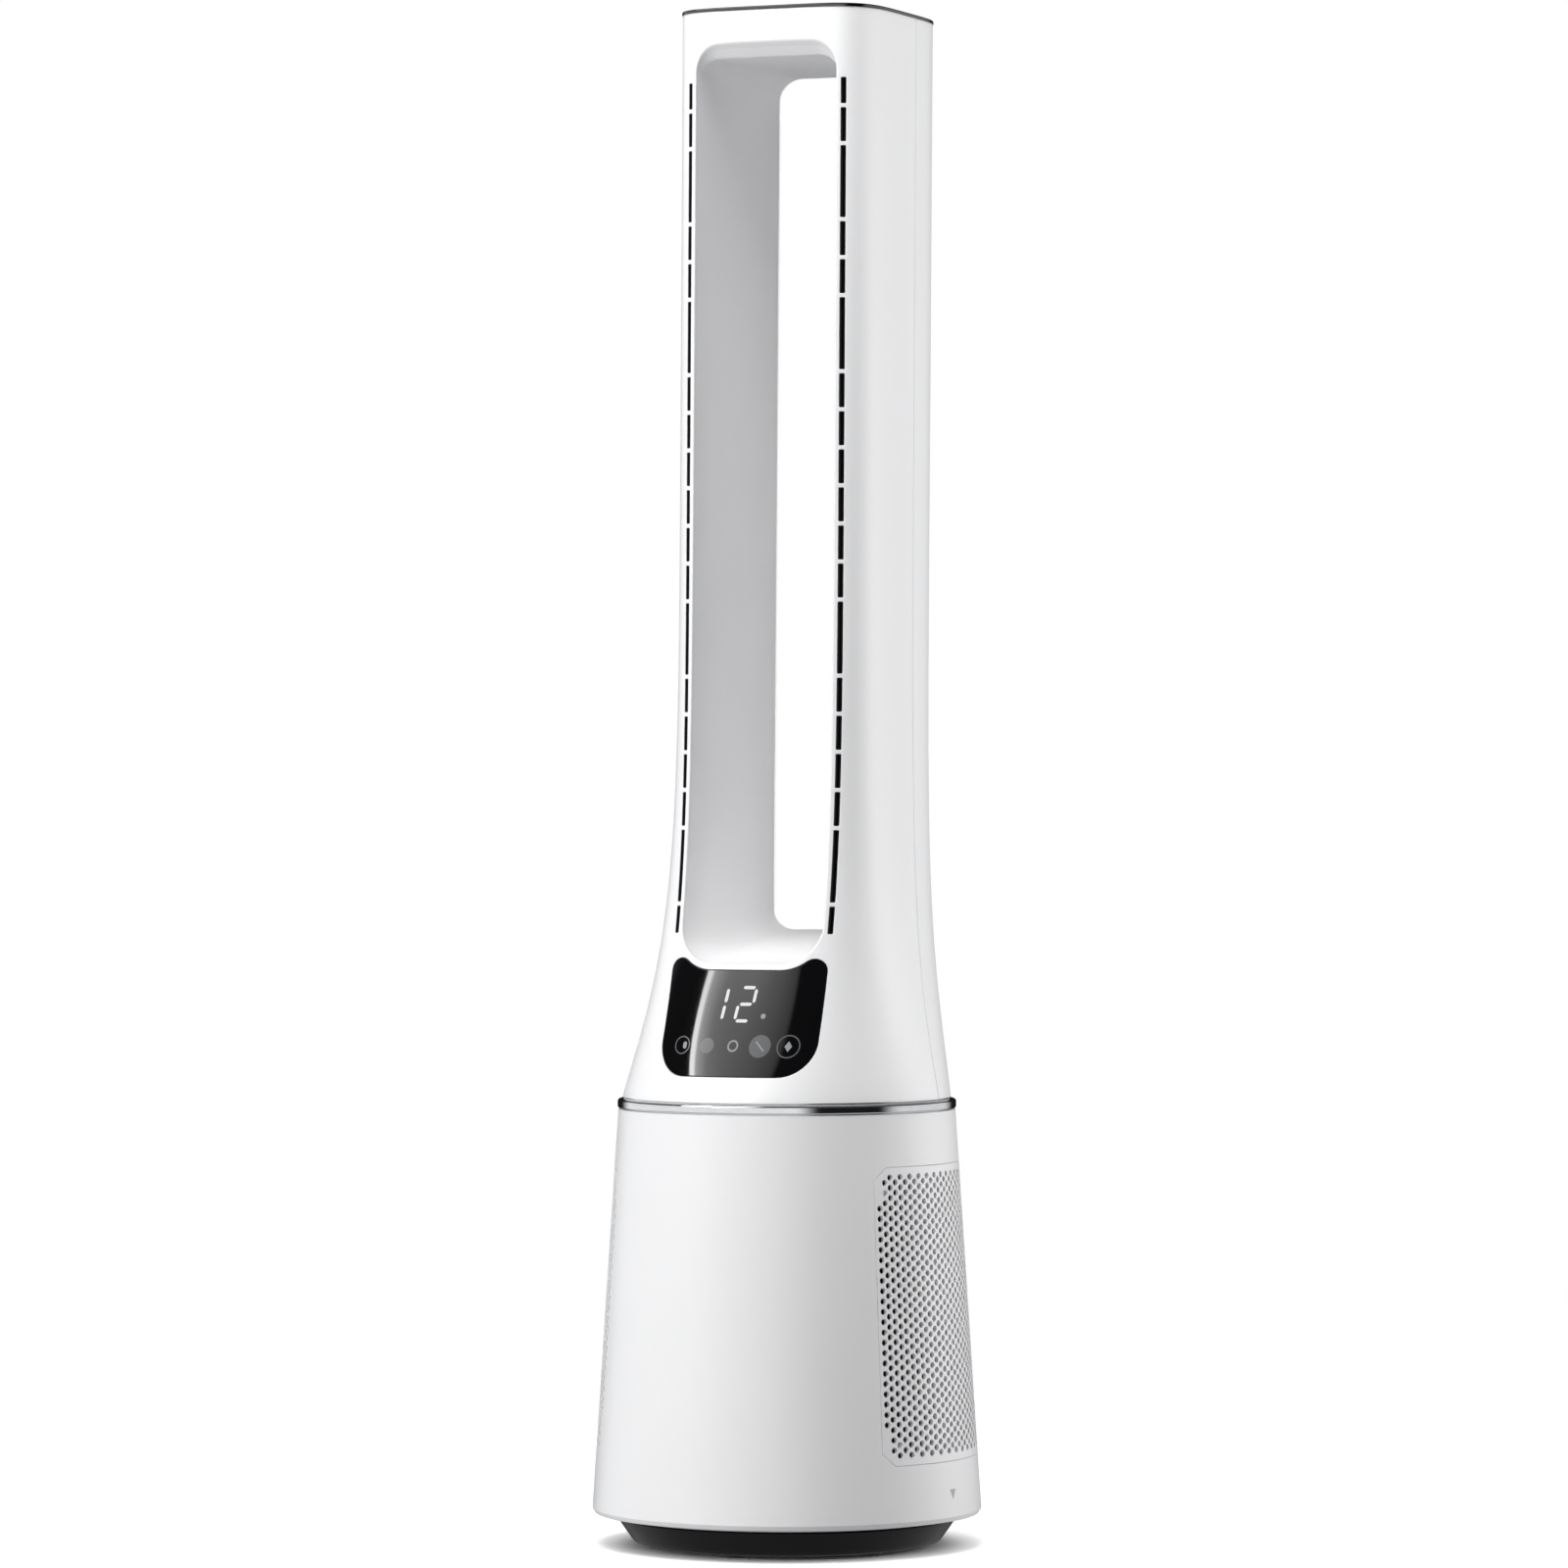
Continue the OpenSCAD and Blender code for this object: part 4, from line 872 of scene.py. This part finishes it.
DIGIT_SLANT = 0.11
DIGIT_TALL = 21.2
DIGIT_WIDE = 10.2
DIGIT_Z = 354.0
SEGMENT_W = 2.1


def segment_ring(start, end):
    """Six-sided bar between two points of a digit."""
    start, end = np.array(start), np.array(end)
    along = unit(end - start)
    side = np.array([-along[1], along[0]]) * SEGMENT_W / 2
    tip = along * SEGMENT_W / 2
    start, end = start + along * 0.8, end - along * 0.8
    corners = [start, start + tip - side, end - tip - side, end, end - tip + side, start + tip + side]
    ring = sampled(corners, 2.5)
    ring[:, 0] += DIGIT_SLANT * ring[:, 1]
    return ring


def make_digits():
    """A seven-segment 1 and 2."""
    w, h = DIGIT_WIDE / 2, DIGIT_TALL / 2
    bars = {"a": ((-w, h), (w, h)), "b": ((w, 0), (w, h)), "c": ((w, -h), (w, 0)), "d": ((-w, -h), (w, -h)),
            "e": ((-w, -h), (-w, 0)), "g": ((-w, 0), (w, 0))}
    patches = Patches()
    for lit, x in (("bc", -15.3), ("abged", 4.2)):
        for bar in lit:
            add_mark(patches, segment_ring(*bars[bar]) + (x, DIGIT_Z))
    finish_piece(patches, "display_digits", "tower", "display_light")


def circle_line(patches, centre, radius, width, steps=40):
    """A printed circle."""
    add_mark(patches, disc_ring(centre, radius + width / 2, steps),
             [disc_ring(centre, radius - width / 2, steps)])


TOUCH_Z = 327.5
TOUCH_X = (-37.0, -18.5, 0.0, 18.5, 37.0)


def make_touch_marks():
    """Five touch marks: timer, mode, power, swing and light, and the dot beside the digits."""
    bright, faint = Patches(), Patches()
    timer, mode, power, swing, lamp = [(x, TOUCH_Z) for x in TOUCH_X]
    circle_line(faint, timer, 5.4, 0.8)
    add_mark(bright, rounded_box(timer[0] + 0.6, timer[0] + 3.4, TOUCH_Z - 2.2, TOUCH_Z + 2.2, 1.3, 1.0))
    add_mark(faint, disc_ring(mode, 5.0, 40))
    circle_line(bright, power, 3.2, 1.1)
    stroke = np.array([(-3.6, 2.9), (2.9, -3.6), (3.6, -2.9), (-2.9, 3.6)])
    hole = stroke * 1.1 + np.sign(stroke) * 0.1
    add_mark(faint, disc_ring(swing, 7.2, 40), [sampled(hole + swing, 2.5)])
    add_mark(bright, sampled(stroke + swing, 2.5))
    circle_line(faint, lamp, 7.0, 0.8)
    diamond = np.array([(0, -3.4), (2.4, 0), (0, 3.4), (-2.4, 0)])
    add_mark(bright, sampled(diamond + lamp, 2.5))
    add_mark(bright, disc_ring((17.4, DIGIT_Z - 7.5), 1.7, 16))
    finish_piece(bright, "touch_marks_lit", "tower", "display_light", look="touch_light")
    finish_piece(faint, "touch_marks_dim", "tower", "display_light", look="touch_light_dim")


# ---------- ring and top ----------

RING_IN = 96.0


def make_ring():
    """Bright ring with a groove under it and a lip that holds the column's foot."""
    high = COLUMN_LOW
    groove_r = 107.5
    corners = [(RING_IN, RING_LOW, 0), (groove_r, RING_LOW, 0), (groove_r, RING_LOW + 0.7, 0.2),
               (RING_R, RING_LOW + 0.7, 0.9), (RING_R, RING_LOW + 6.0, 1.6), (COWL_R, high - 0.6, 0.4),
               (COWL_R - 1.2, high - 0.6, 0.2), (COWL_R - 1.2, high, 0), (RING_IN, high, 0)]
    finish_piece(lathe(corners), "trim_band", "tower", "chrome_trim", "trim_ring")


def top_path(steps=240):
    """Points of the column's outline at the top with their outward directions."""
    angles = turn_angles(steps)
    z = COLUMN_HIGH
    half, deep, mid, n = column_outline(z)

    def bent(value, power):
        return np.sign(value) * np.abs(value) ** power

    x, y = half * bent(np.cos(angles), 2 / n), mid + deep * bent(np.sin(angles), 2 / n)
    base = np.stack([x, y, 0 * x], axis=1)
    fall_x, fall_y = bent(x / half, n - 1) / half, bent((y - mid) / deep, n - 1) / deep
    return base, unit(np.stack([fall_x, fall_y, 0 * x], axis=1))


def make_top():
    low, high = COLUMN_HIGH, TOTAL_HIGH
    base, out = top_path()
    patches = Patches()
    rim = rounded_profile([(-3.0, low, 0), (0.45, low, 0.15), (0.45, high, 0.7), (-3.0, high, 0.4)])
    sweep_profile(patches, rim, base, out)
    finish_piece(patches, "top_rim", "tower", "chrome_trim", "top_trim", look="dark_chrome")
    patches = Patches()
    lid_inset, lid_flat = 3.15, 8.0
    edge_high = high - 0.5
    corners = [(-lid_flat, low - 2.2, 0), (-lid_inset, low - 2.2, 0), (-lid_inset, edge_high, 0.5),
               (-lid_flat, edge_high, 0)]
    lid = rounded_profile(corners, closed=False)
    sweep_profile(patches, lid, base, out)
    centre = (0, column_outline(low)[2], 0)
    inner = base - out * lid_flat
    rows = [inner + (centre - inner) * share for share in (0.0, 0.5, 1.0)]
    for height, facing in ((edge_high, 1.0), (low - 2.2, -1.0)):
        normals = [0 * row + UP * facing for row in rows]
        patches.band([row + UP * height for row in rows], normals, flip=facing < 0)
    finish_piece(patches, "top_lid", "tower", "white_shell", "top_cap")


# ---------- lower body ----------

BODY_TOP_R = 110.0
FOOT_Z = 24.0
CONE_R = 118.0          # radius at which a cone's flat coordinate u is true
LIP_Z = 19.2
LIP_R = 112.8
LEDGE_R = 102.0
LEDGE_LOW = 22.6
LEDGE_HIGH = 26.6
SHELF_LOW = 274.5
SHELF_HIGH = 280.0
SHELF_R = 84.0
COVER_ANGLE = 37.5
COVER_LOW = 60.0
COVER_HIGH = 250.0
COVER_CHAMFER = 8.0
WINDOW_GAP = 0.15


def body_r(z):
    return BODY_FOOT_R + (BODY_TOP_R - BODY_FOOT_R) * (z - FOOT_Z) / (RING_LOW - FOOT_Z)


def cone(u, z):
    """The lower body's face; u runs round it from the front, positive to the viewer's right."""
    angle = np.asarray(u) / CONE_R
    r = body_r(z)
    return np.stack([r * np.sin(angle), -r * np.cos(angle), z + 0 * angle], axis=-1)


def cover_ring(side, grow=0.0):
    """Counterclockwise outline of a side cover on the cone."""
    edge = math.radians(COVER_ANGLE)

    def at(width_cut, z):
        r = body_r(z)
        return math.asin(math.sin(edge) - width_cut / r) * CONE_R

    low, high, cut = COVER_LOW - grow, COVER_HIGH + grow, COVER_CHAMFER
    wide = edge * CONE_R + grow
    right = [(at(cut, low), low), (wide, COVER_LOW + cut), (wide, COVER_HIGH - cut), (at(cut, high), high)]
    corners = right + [(-u, z) for u, z in reversed(right)]
    ring = sampled(corners, 4.0)
    ring[:, 0] += side * math.pi / 2 * CONE_R
    return ring


def make_body():
    patches = Patches()
    columns = np.radians(np.arange(-180, 180.1, 2.5)) * CONE_R
    windows = [Rim(cover_ring(side, WINDOW_GAP), 0.5) for side in (-1, 1)]

    def layer(low, high, window_rings):
        rows = spread(low, high, 16.0)
        border = grid_border(columns, rows)
        return border, face_layer(cone, [border] + window_rings, columns[1:-1], rows[1:-1], 2.0)

    patches.add(*layer(FOOT_Z + 1, RING_LOW - 1, [rim.moved(rim.radius) for rim in windows])[1])
    border, (points, normals, faces) = layer(LEDGE_HIGH, SHELF_LOW, [rim.outline for rim in windows])
    inner = points - unit(normals * [1, 1, 0]) * WALL
    add_inner(patches, cone, windows, inner, normals, faces, len(border), WALL)
    foot = [(body_r(LEDGE_HIGH) - WALL, LEDGE_HIGH, 0), (LEDGE_R, LEDGE_HIGH, 0.4),
            (LEDGE_R, LEDGE_LOW, 0.4), (LIP_R, LEDGE_LOW, 0), (LIP_R, LIP_Z + 0.2, 0.2),
            (LIP_R + 1, LIP_Z, 0.5), (BODY_FOOT_R - 1.6, FOOT_Z - 3, 2.0), (BODY_FOOT_R, FOOT_Z, 1.5),
            (body_r(FOOT_Z + 1), FOOT_Z + 1, 0)]
    head = [(body_r(RING_LOW - 1), RING_LOW - 1, 0), (BODY_TOP_R, RING_LOW, 0.5), (RING_IN, RING_LOW, 0.3),
            (RING_IN, SHELF_HIGH, 0.3), (SHELF_R, SHELF_HIGH, 0.4), (SHELF_R, SHELF_LOW, 0.4),
            (body_r(SHELF_LOW) - WALL, SHELF_LOW, 0)]
    base, out = circle_path(144)
    for corners in (foot, head):
        sweep_profile(patches, rounded_profile(corners, closed=False), base, out)
    finish_piece(patches, "body_shell", "tower", "white_shell", "lower_shell")


HOLE_R = 2.05
HOLE_COLUMNS = 34
HOLE_ROWS = 28
HOLE_SPAN = 35.5        # degrees from the cover's middle to its first column
HOLE_LOW = 66.7
HOLE_HIGH = 243.7
OUTER_CUT = 3           # holes left out at each end of the first and last columns


def hole_centres(side):
    """Staggered air holes of a cover; the first and last columns stop short of the chamfered corners."""
    pitch = (HOLE_HIGH - HOLE_LOW) / (HOLE_ROWS - 1)
    centres = []
    for column in range(HOLE_COLUMNS):
        angle = -HOLE_SPAN + 2 * HOLE_SPAN * column / (HOLE_COLUMNS - 1)
        shift = column % 2
        cut = OUTER_CUT if column in (0, HOLE_COLUMNS - 1) else 0
        for row in range(cut, HOLE_ROWS - shift - cut):
            z = HOLE_LOW + pitch * (row + shift / 2)
            centres.append(((math.radians(angle) + side * math.pi / 2) * CONE_R, z))
    return centres


PEG_Y = 60.0
PEG_Z = (72.0, 234.0)
PEG_R = 2.5
PEG_TIP_X = 81.0


def make_cover(side, name, cad_name, body):
    """Perforated cover with four rounded locating pegs."""
    patches = Patches()
    rims = [Rim(cover_ring(side), 0.4, hole=False)]
    rims += [Rim(disc_ring(centre, HOLE_R, 10), 0.15, steps=1) for centre in hole_centres(side)]
    add_panel(patches, cone, rims, [], [], WALL, 0.0)
    for z in PEG_Z:
        length = math.sqrt((body_r(z) - WALL + 0.4) ** 2 - PEG_Y ** 2) - PEG_TIP_X
        corners = [(0, 0, 0), (PEG_R, 0, 0.8), (PEG_R, length, 0), (0, length, 0)]
        for y in (-PEG_Y, PEG_Y):
            add_turned(patches, corners, 24, [[0, 0, side], [0, 1, 0], [1, 0, 0]], (side * PEG_TIP_X, y, z))
    finish_piece(patches, name, body, "white_shell", cad_name)


def make_arrow_mark():
    """Small printed triangle under each side cover, which shows where the cover opens."""
    angle, z = math.radians(81), 38.6
    tall, wide = 6.6, 6.4
    lift = 0.04
    outline = [(0, -tall / 2), (wide / 2, tall / 2), (-wide / 2, tall / 2)]

    def lifted(u, z):
        return cone(u, z) * (1 + lift / 120, 1 + lift / 120, 1)

    for side, name in ((-1, "arrow_mark_left"), (1, "arrow_mark_right")):
        patches = Patches()
        ring = sampled(outline, 2.0) + (side * angle * CONE_R, z)
        add_panel(patches, lifted, [Rim(ring, 0.01, hole=False, steps=1)], [], [], 2 * lift, 0.0)
        finish_piece(patches, name, "tower", "inner_plastic", look="grey_print")


# ---------- base ----------

DISH_FOOT_R = 101.0
DISH_WALL = 3.0
DISH_FLOOR = 4.5
GLAND_Y = 104.5
GLAND_Z = 8.4
GLAND_BORE_R = 3.6
TRACK_IN = 80.0         # ridge that carries the ball track
TRACK_OUT = 92.0
TRACK_HIGH = 12.97
BOSS_IN = 22.0          # ridge round the spindle
BOSS_OUT = 36.0
BOSS_HIGH = 10.5


def simple_object(name, create, **settings):
    """An object made by a shape builder of Blender."""
    mesh = bpy.data.meshes.new(name)
    shape = bmesh.new()
    create(shape, **settings)
    shape.to_mesh(mesh)
    shape.free()
    return add_object(name, mesh)


def cut_box(piece, low, high):
    """Cuts a box out of a piece."""
    low, high = np.array(low), np.array(high)
    cutter = simple_object("cutter", bmesh.ops.create_cube, size=1)
    for vertex in cutter.data.vertices:
        vertex.co = ((low + high) / 2 + np.array(vertex.co) * (high - low)) * MM
    cut = piece.modifiers.new("cut", "BOOLEAN")
    cut.operation = "DIFFERENCE"
    cut.solver = "EXACT"
    cut.object = cutter
    depsgraph = bpy.context.evaluated_depsgraph_get()
    result = bpy.data.meshes.new_from_object(piece.evaluated_get(depsgraph))
    piece.modifiers.clear()
    piece.data = result
    bpy.data.objects.remove(cutter)


def make_base():
    corners = [(0, DISH_FLOOR, 0), (0, 2, 0), (DISH_FOOT_R - 1.6, 2, 3.5), (DISH_FOOT_R + 1, 5.0, 2.0),
               (DISH_R, DISH_HIGH, 0.8), (DISH_R - DISH_WALL, DISH_HIGH, 0.6),
               (DISH_FOOT_R - DISH_WALL, DISH_FLOOR + 1.4, 1.0),
               (DISH_FOOT_R - DISH_WALL - 2, DISH_FLOOR, 0.6),
               (TRACK_OUT, DISH_FLOOR, 0.3), (TRACK_OUT, TRACK_HIGH, 0.3), (TRACK_IN, TRACK_HIGH, 0.3),
               (TRACK_IN, DISH_FLOOR, 0.3), (BOSS_OUT, DISH_FLOOR, 0.3), (BOSS_OUT, BOSS_HIGH, 0.5),
               (BOSS_IN, BOSS_HIGH, 0.2), (BOSS_IN, DISH_FLOOR, 0)]
    piece = lathe(corners).build("base_tray", MATERIALS["black_base"])
    cut_box(piece, (-9.5, GLAND_Y, 1.3), (9.5, GLAND_Y + 20, 31.3))
    cut_box(piece, (-4, 10, DISH_FLOOR), (4, 94, 12.1))
    piece.data.polygons.foreach_set("use_smooth", [True] * len(piece.data.polygons))
    piece.data.set_sharp_from_angle(angle=math.radians(28))
    piece.data.materials.clear()
    piece.data.materials.append(MATERIALS["black_base"])
    place_piece(piece, "base", "black_base", "base_dish")


def make_gland():
    """Flanged sleeve for the lead, along Y."""
    patches = Patches()
    corners = [(GLAND_BORE_R, -10.5, 0.3), (5.0, -10.5, 0.4), (5.0, 0, 0), (6.2, 0, 0.3), (5.6, 3, 0.8),
               (GLAND_BORE_R, 3, 0.5)]
    add_turned(patches, corners, 48, [[1, 0, 0], [0, 0, 1], [0, -1, 0]], (0, GLAND_Y, GLAND_Z))
    finish_piece(patches, "lead_gland", "base", "rubber", "cord_gland")


make_column()
make_slot_lips()
make_loop_wall()
make_display_panel()
make_digits()
make_touch_marks()
make_ring()
make_top()
make_body()
make_cover(-1, "intake_grille_left", "left_cover", "left_intake")
make_cover(1, "intake_grille_right", "right_cover", "right_intake")
make_arrow_mark()
make_base()
make_gland()

# ---------- stage, camera and light ----------

VIEW_ANGLE = math.radians(23)
CAMERA_AWAY = 4.48
CAMERA_HEIGHT = 0.4955
AIM_LEFT = 0.0019       # the axis stands this far right of the picture's middle
LENS = 157.5

FRONT_BAND = 0.85
RIGHT_BAND = 0.7
HORIZON_DARK = 0.01
SKY = 0.07
BELOW = 0.42
KEY_POWER = 30
FILL_POWER = 45
TOP_POWER = 55
REAR_POWER = 18
CEILING_POWER = 380
# Glow of the floor away from the base; under the base it falls to nothing as painted shade.
FLOOR_GLOW = 0.6


def polar(angle_deg, distance, height):
    """Point at an angle round the fan from its front, positive to the viewer's right."""
    angle = math.radians(angle_deg)
    return Vector((distance * math.sin(angle), -distance * math.cos(angle), height))


def add_aimed(data, place, target):
    """Camera or light at a place, turned towards a target."""
    thing = add_object(data.name, data)
    thing.location = place
    thing.rotation_euler = (Vector(target) - Vector(place)).to_track_quat("-Z", "Y").to_euler()
    return thing


def make_camera():
    camera = bpy.data.cameras.new("camera")
    camera.lens = LENS
    camera.sensor_width = 36
    right = Vector((math.cos(VIEW_ANGLE), math.sin(VIEW_ANGLE), 0))
    target = Vector((0, 0, CAMERA_HEIGHT)) - right * AIM_LEFT
    place = polar(math.degrees(VIEW_ANGLE), CAMERA_AWAY, CAMERA_HEIGHT)
    bpy.context.scene.camera = add_aimed(camera, place, target)


def soft_light(name, place, target, size, power):
    light = bpy.data.lights.new(name, "AREA")
    light.shape = "RECTANGLE"
    light.size, light.size_y = size
    light.energy = power
    return add_aimed(light, place, target)


def make_floor():
    """Pale round floor that fades into the background; its glow fades out under and just round the base,
    which paints shade there.
    """
    floor = simple_object("floor", bmesh.ops.create_circle, cap_ends=True, segments=96, radius=2.4)
    floor.location.z = -0.0002
    shader = Shader("floor_paint", 0.6, Emission_Color=(1, 1, 1, 1))
    shades = ((0.3, (0.86, 0.86, 0.86)), (0.7, (0.9, 0.9, 0.9)))
    shader.feed(Base_Color=colour_ramp(shader.tree, shader.noise(3, 2), shades))
    distance = node(shader.tree, "VectorMath", {0: shader.place}, operation="LENGTH").outputs["Value"]
    # The floor glows to stay white, but not under and just round the base: painted shade under the fan.
    glow = map_range(shader.tree, distance, 0.095, 0.135, 0.0, FLOOR_GLOW, "SMOOTHSTEP")
    shader.feed(Emission_Strength=glow)
    shader.feed(Alpha=map_range(shader.tree, distance, 0.25, 2.2, 1.0, 0.0, "SMOOTHSTEP"))
    floor.data.materials.append(MATERIALS["floor_paint"])
    floor.visible_diffuse = False
    floor.visible_glossy = False


def make_world():
    """White background; the light it gives is a bright horizon in front and on the right, dark between."""
    world = bpy.data.worlds.new("studio")
    bpy.context.scene.world = world
    world.use_nodes = True
    tree = world.node_tree
    tree.nodes.clear()
    place = node(tree, "TexCoord", {}).outputs["Generated"]

    def near(direction, start, end, low, high):
        """Goes from low to high as the view turns towards a direction."""
        dot = node(tree, "VectorMath", {0: place, 1: direction}, operation="DOT_PRODUCT")
        return map_range(tree, dot.outputs["Value"], start, end, low, high, "SMOOTHSTEP")

    def combine(operation, first, second):
        return node(tree, "Math", {0: first, 1: second}, operation=operation).outputs["Value"]

    front = near(polar(-42, 1, 0), 0.05, 0.35, 0.0, FRONT_BAND)
    right = near(polar(132, 1, 0), 0.72, 0.92, 0.0, RIGHT_BAND)
    up, down = ((0, 0, 1), 0.2, 0.34), ((0, 0, -1), 0.2, 0.34)
    band = combine("MULTIPLY", near(*up, 1.0, 0.0), near(*down, 1.0, 0.0))
    rest = combine("ADD", near(*up, HORIZON_DARK, SKY), near(*down, 0.0, BELOW))
    strength = combine("ADD", combine("MULTIPLY", combine("ADD", front, right), band), rest)
    seen = node(tree, "Background", {"Color": (1, 1, 1, 1)}).outputs[0]
    given = node(tree, "Background", {"Color": (0.98, 0.985, 1, 1), "Strength": strength}).outputs[0]
    path = node(tree, "LightPath", {}).outputs["Is Camera Ray"]
    mix = node(tree, "MixShader", {0: path, 1: given, 2: seen}).outputs[0]
    node(tree, "OutputWorld", {"Surface": mix})


def make_ceiling_light():
    """Overhead softbox that the display mirrors: a bright edge on the left, fading to the right."""
    light = soft_light("ceiling", Vector((-0.92, -2.1, 1.95)), (-0.92, -2.1, 0), (2.0, 2.6), CEILING_POWER)
    light.rotation_euler = (0, 0, 0)
    light.visible_diffuse = False
    light.data.use_nodes = True
    tree = light.data.node_tree
    place = node(tree, "NewGeometry", {}).outputs["Parametric"]
    across = node(tree, "SeparateXYZ", {"Vector": place}).outputs["X"]
    levels = ((0.0, 1.0), (0.09, 1.0), (0.12, 0.42), (0.3, 0.2), (0.55, 0.12), (0.93, 0.05), (1.0, 0.0))
    strength = colour_ramp(tree, across, [(position, (level,) * 3) for position, level in levels])
    feed(tree, tree.nodes["Emission"], {"Strength": strength})


def make_lights():
    key = soft_light("key", polar(-38, 2.6, 0.65), (0, 0, 0.5), (1.6, 1.2), KEY_POWER)
    fill = soft_light("fill_right", polar(128, 2.4, 0.42), (0, 0, 0.4), (1.4, 1.4), FILL_POWER)
    top = soft_light("top", (0.1, -0.9, 2.6), (0, 0, 0.4), (1.4, 1.4), TOP_POWER)
    rear = soft_light("rear", polar(215, 2.6, 0.9), (0, 0, 0.5), (1.6, 1.6), REAR_POWER)
    for light in (key, fill, top, rear):
        light.visible_glossy = False
    spared = bpy.data.collections.new("not_lit_from_the_side")
    spared.objects.link(bpy.data.objects["loop_inner_wall"])
    spared.collection_objects[0].light_linking.link_state = "EXCLUDE"
    for light in (fill, rear):
        light.light_linking.receiver_collection = spared
    make_ceiling_light()


bpy.context.scene.view_settings.view_transform = "Standard"
make_camera()
make_floor()
make_world()
make_lights()
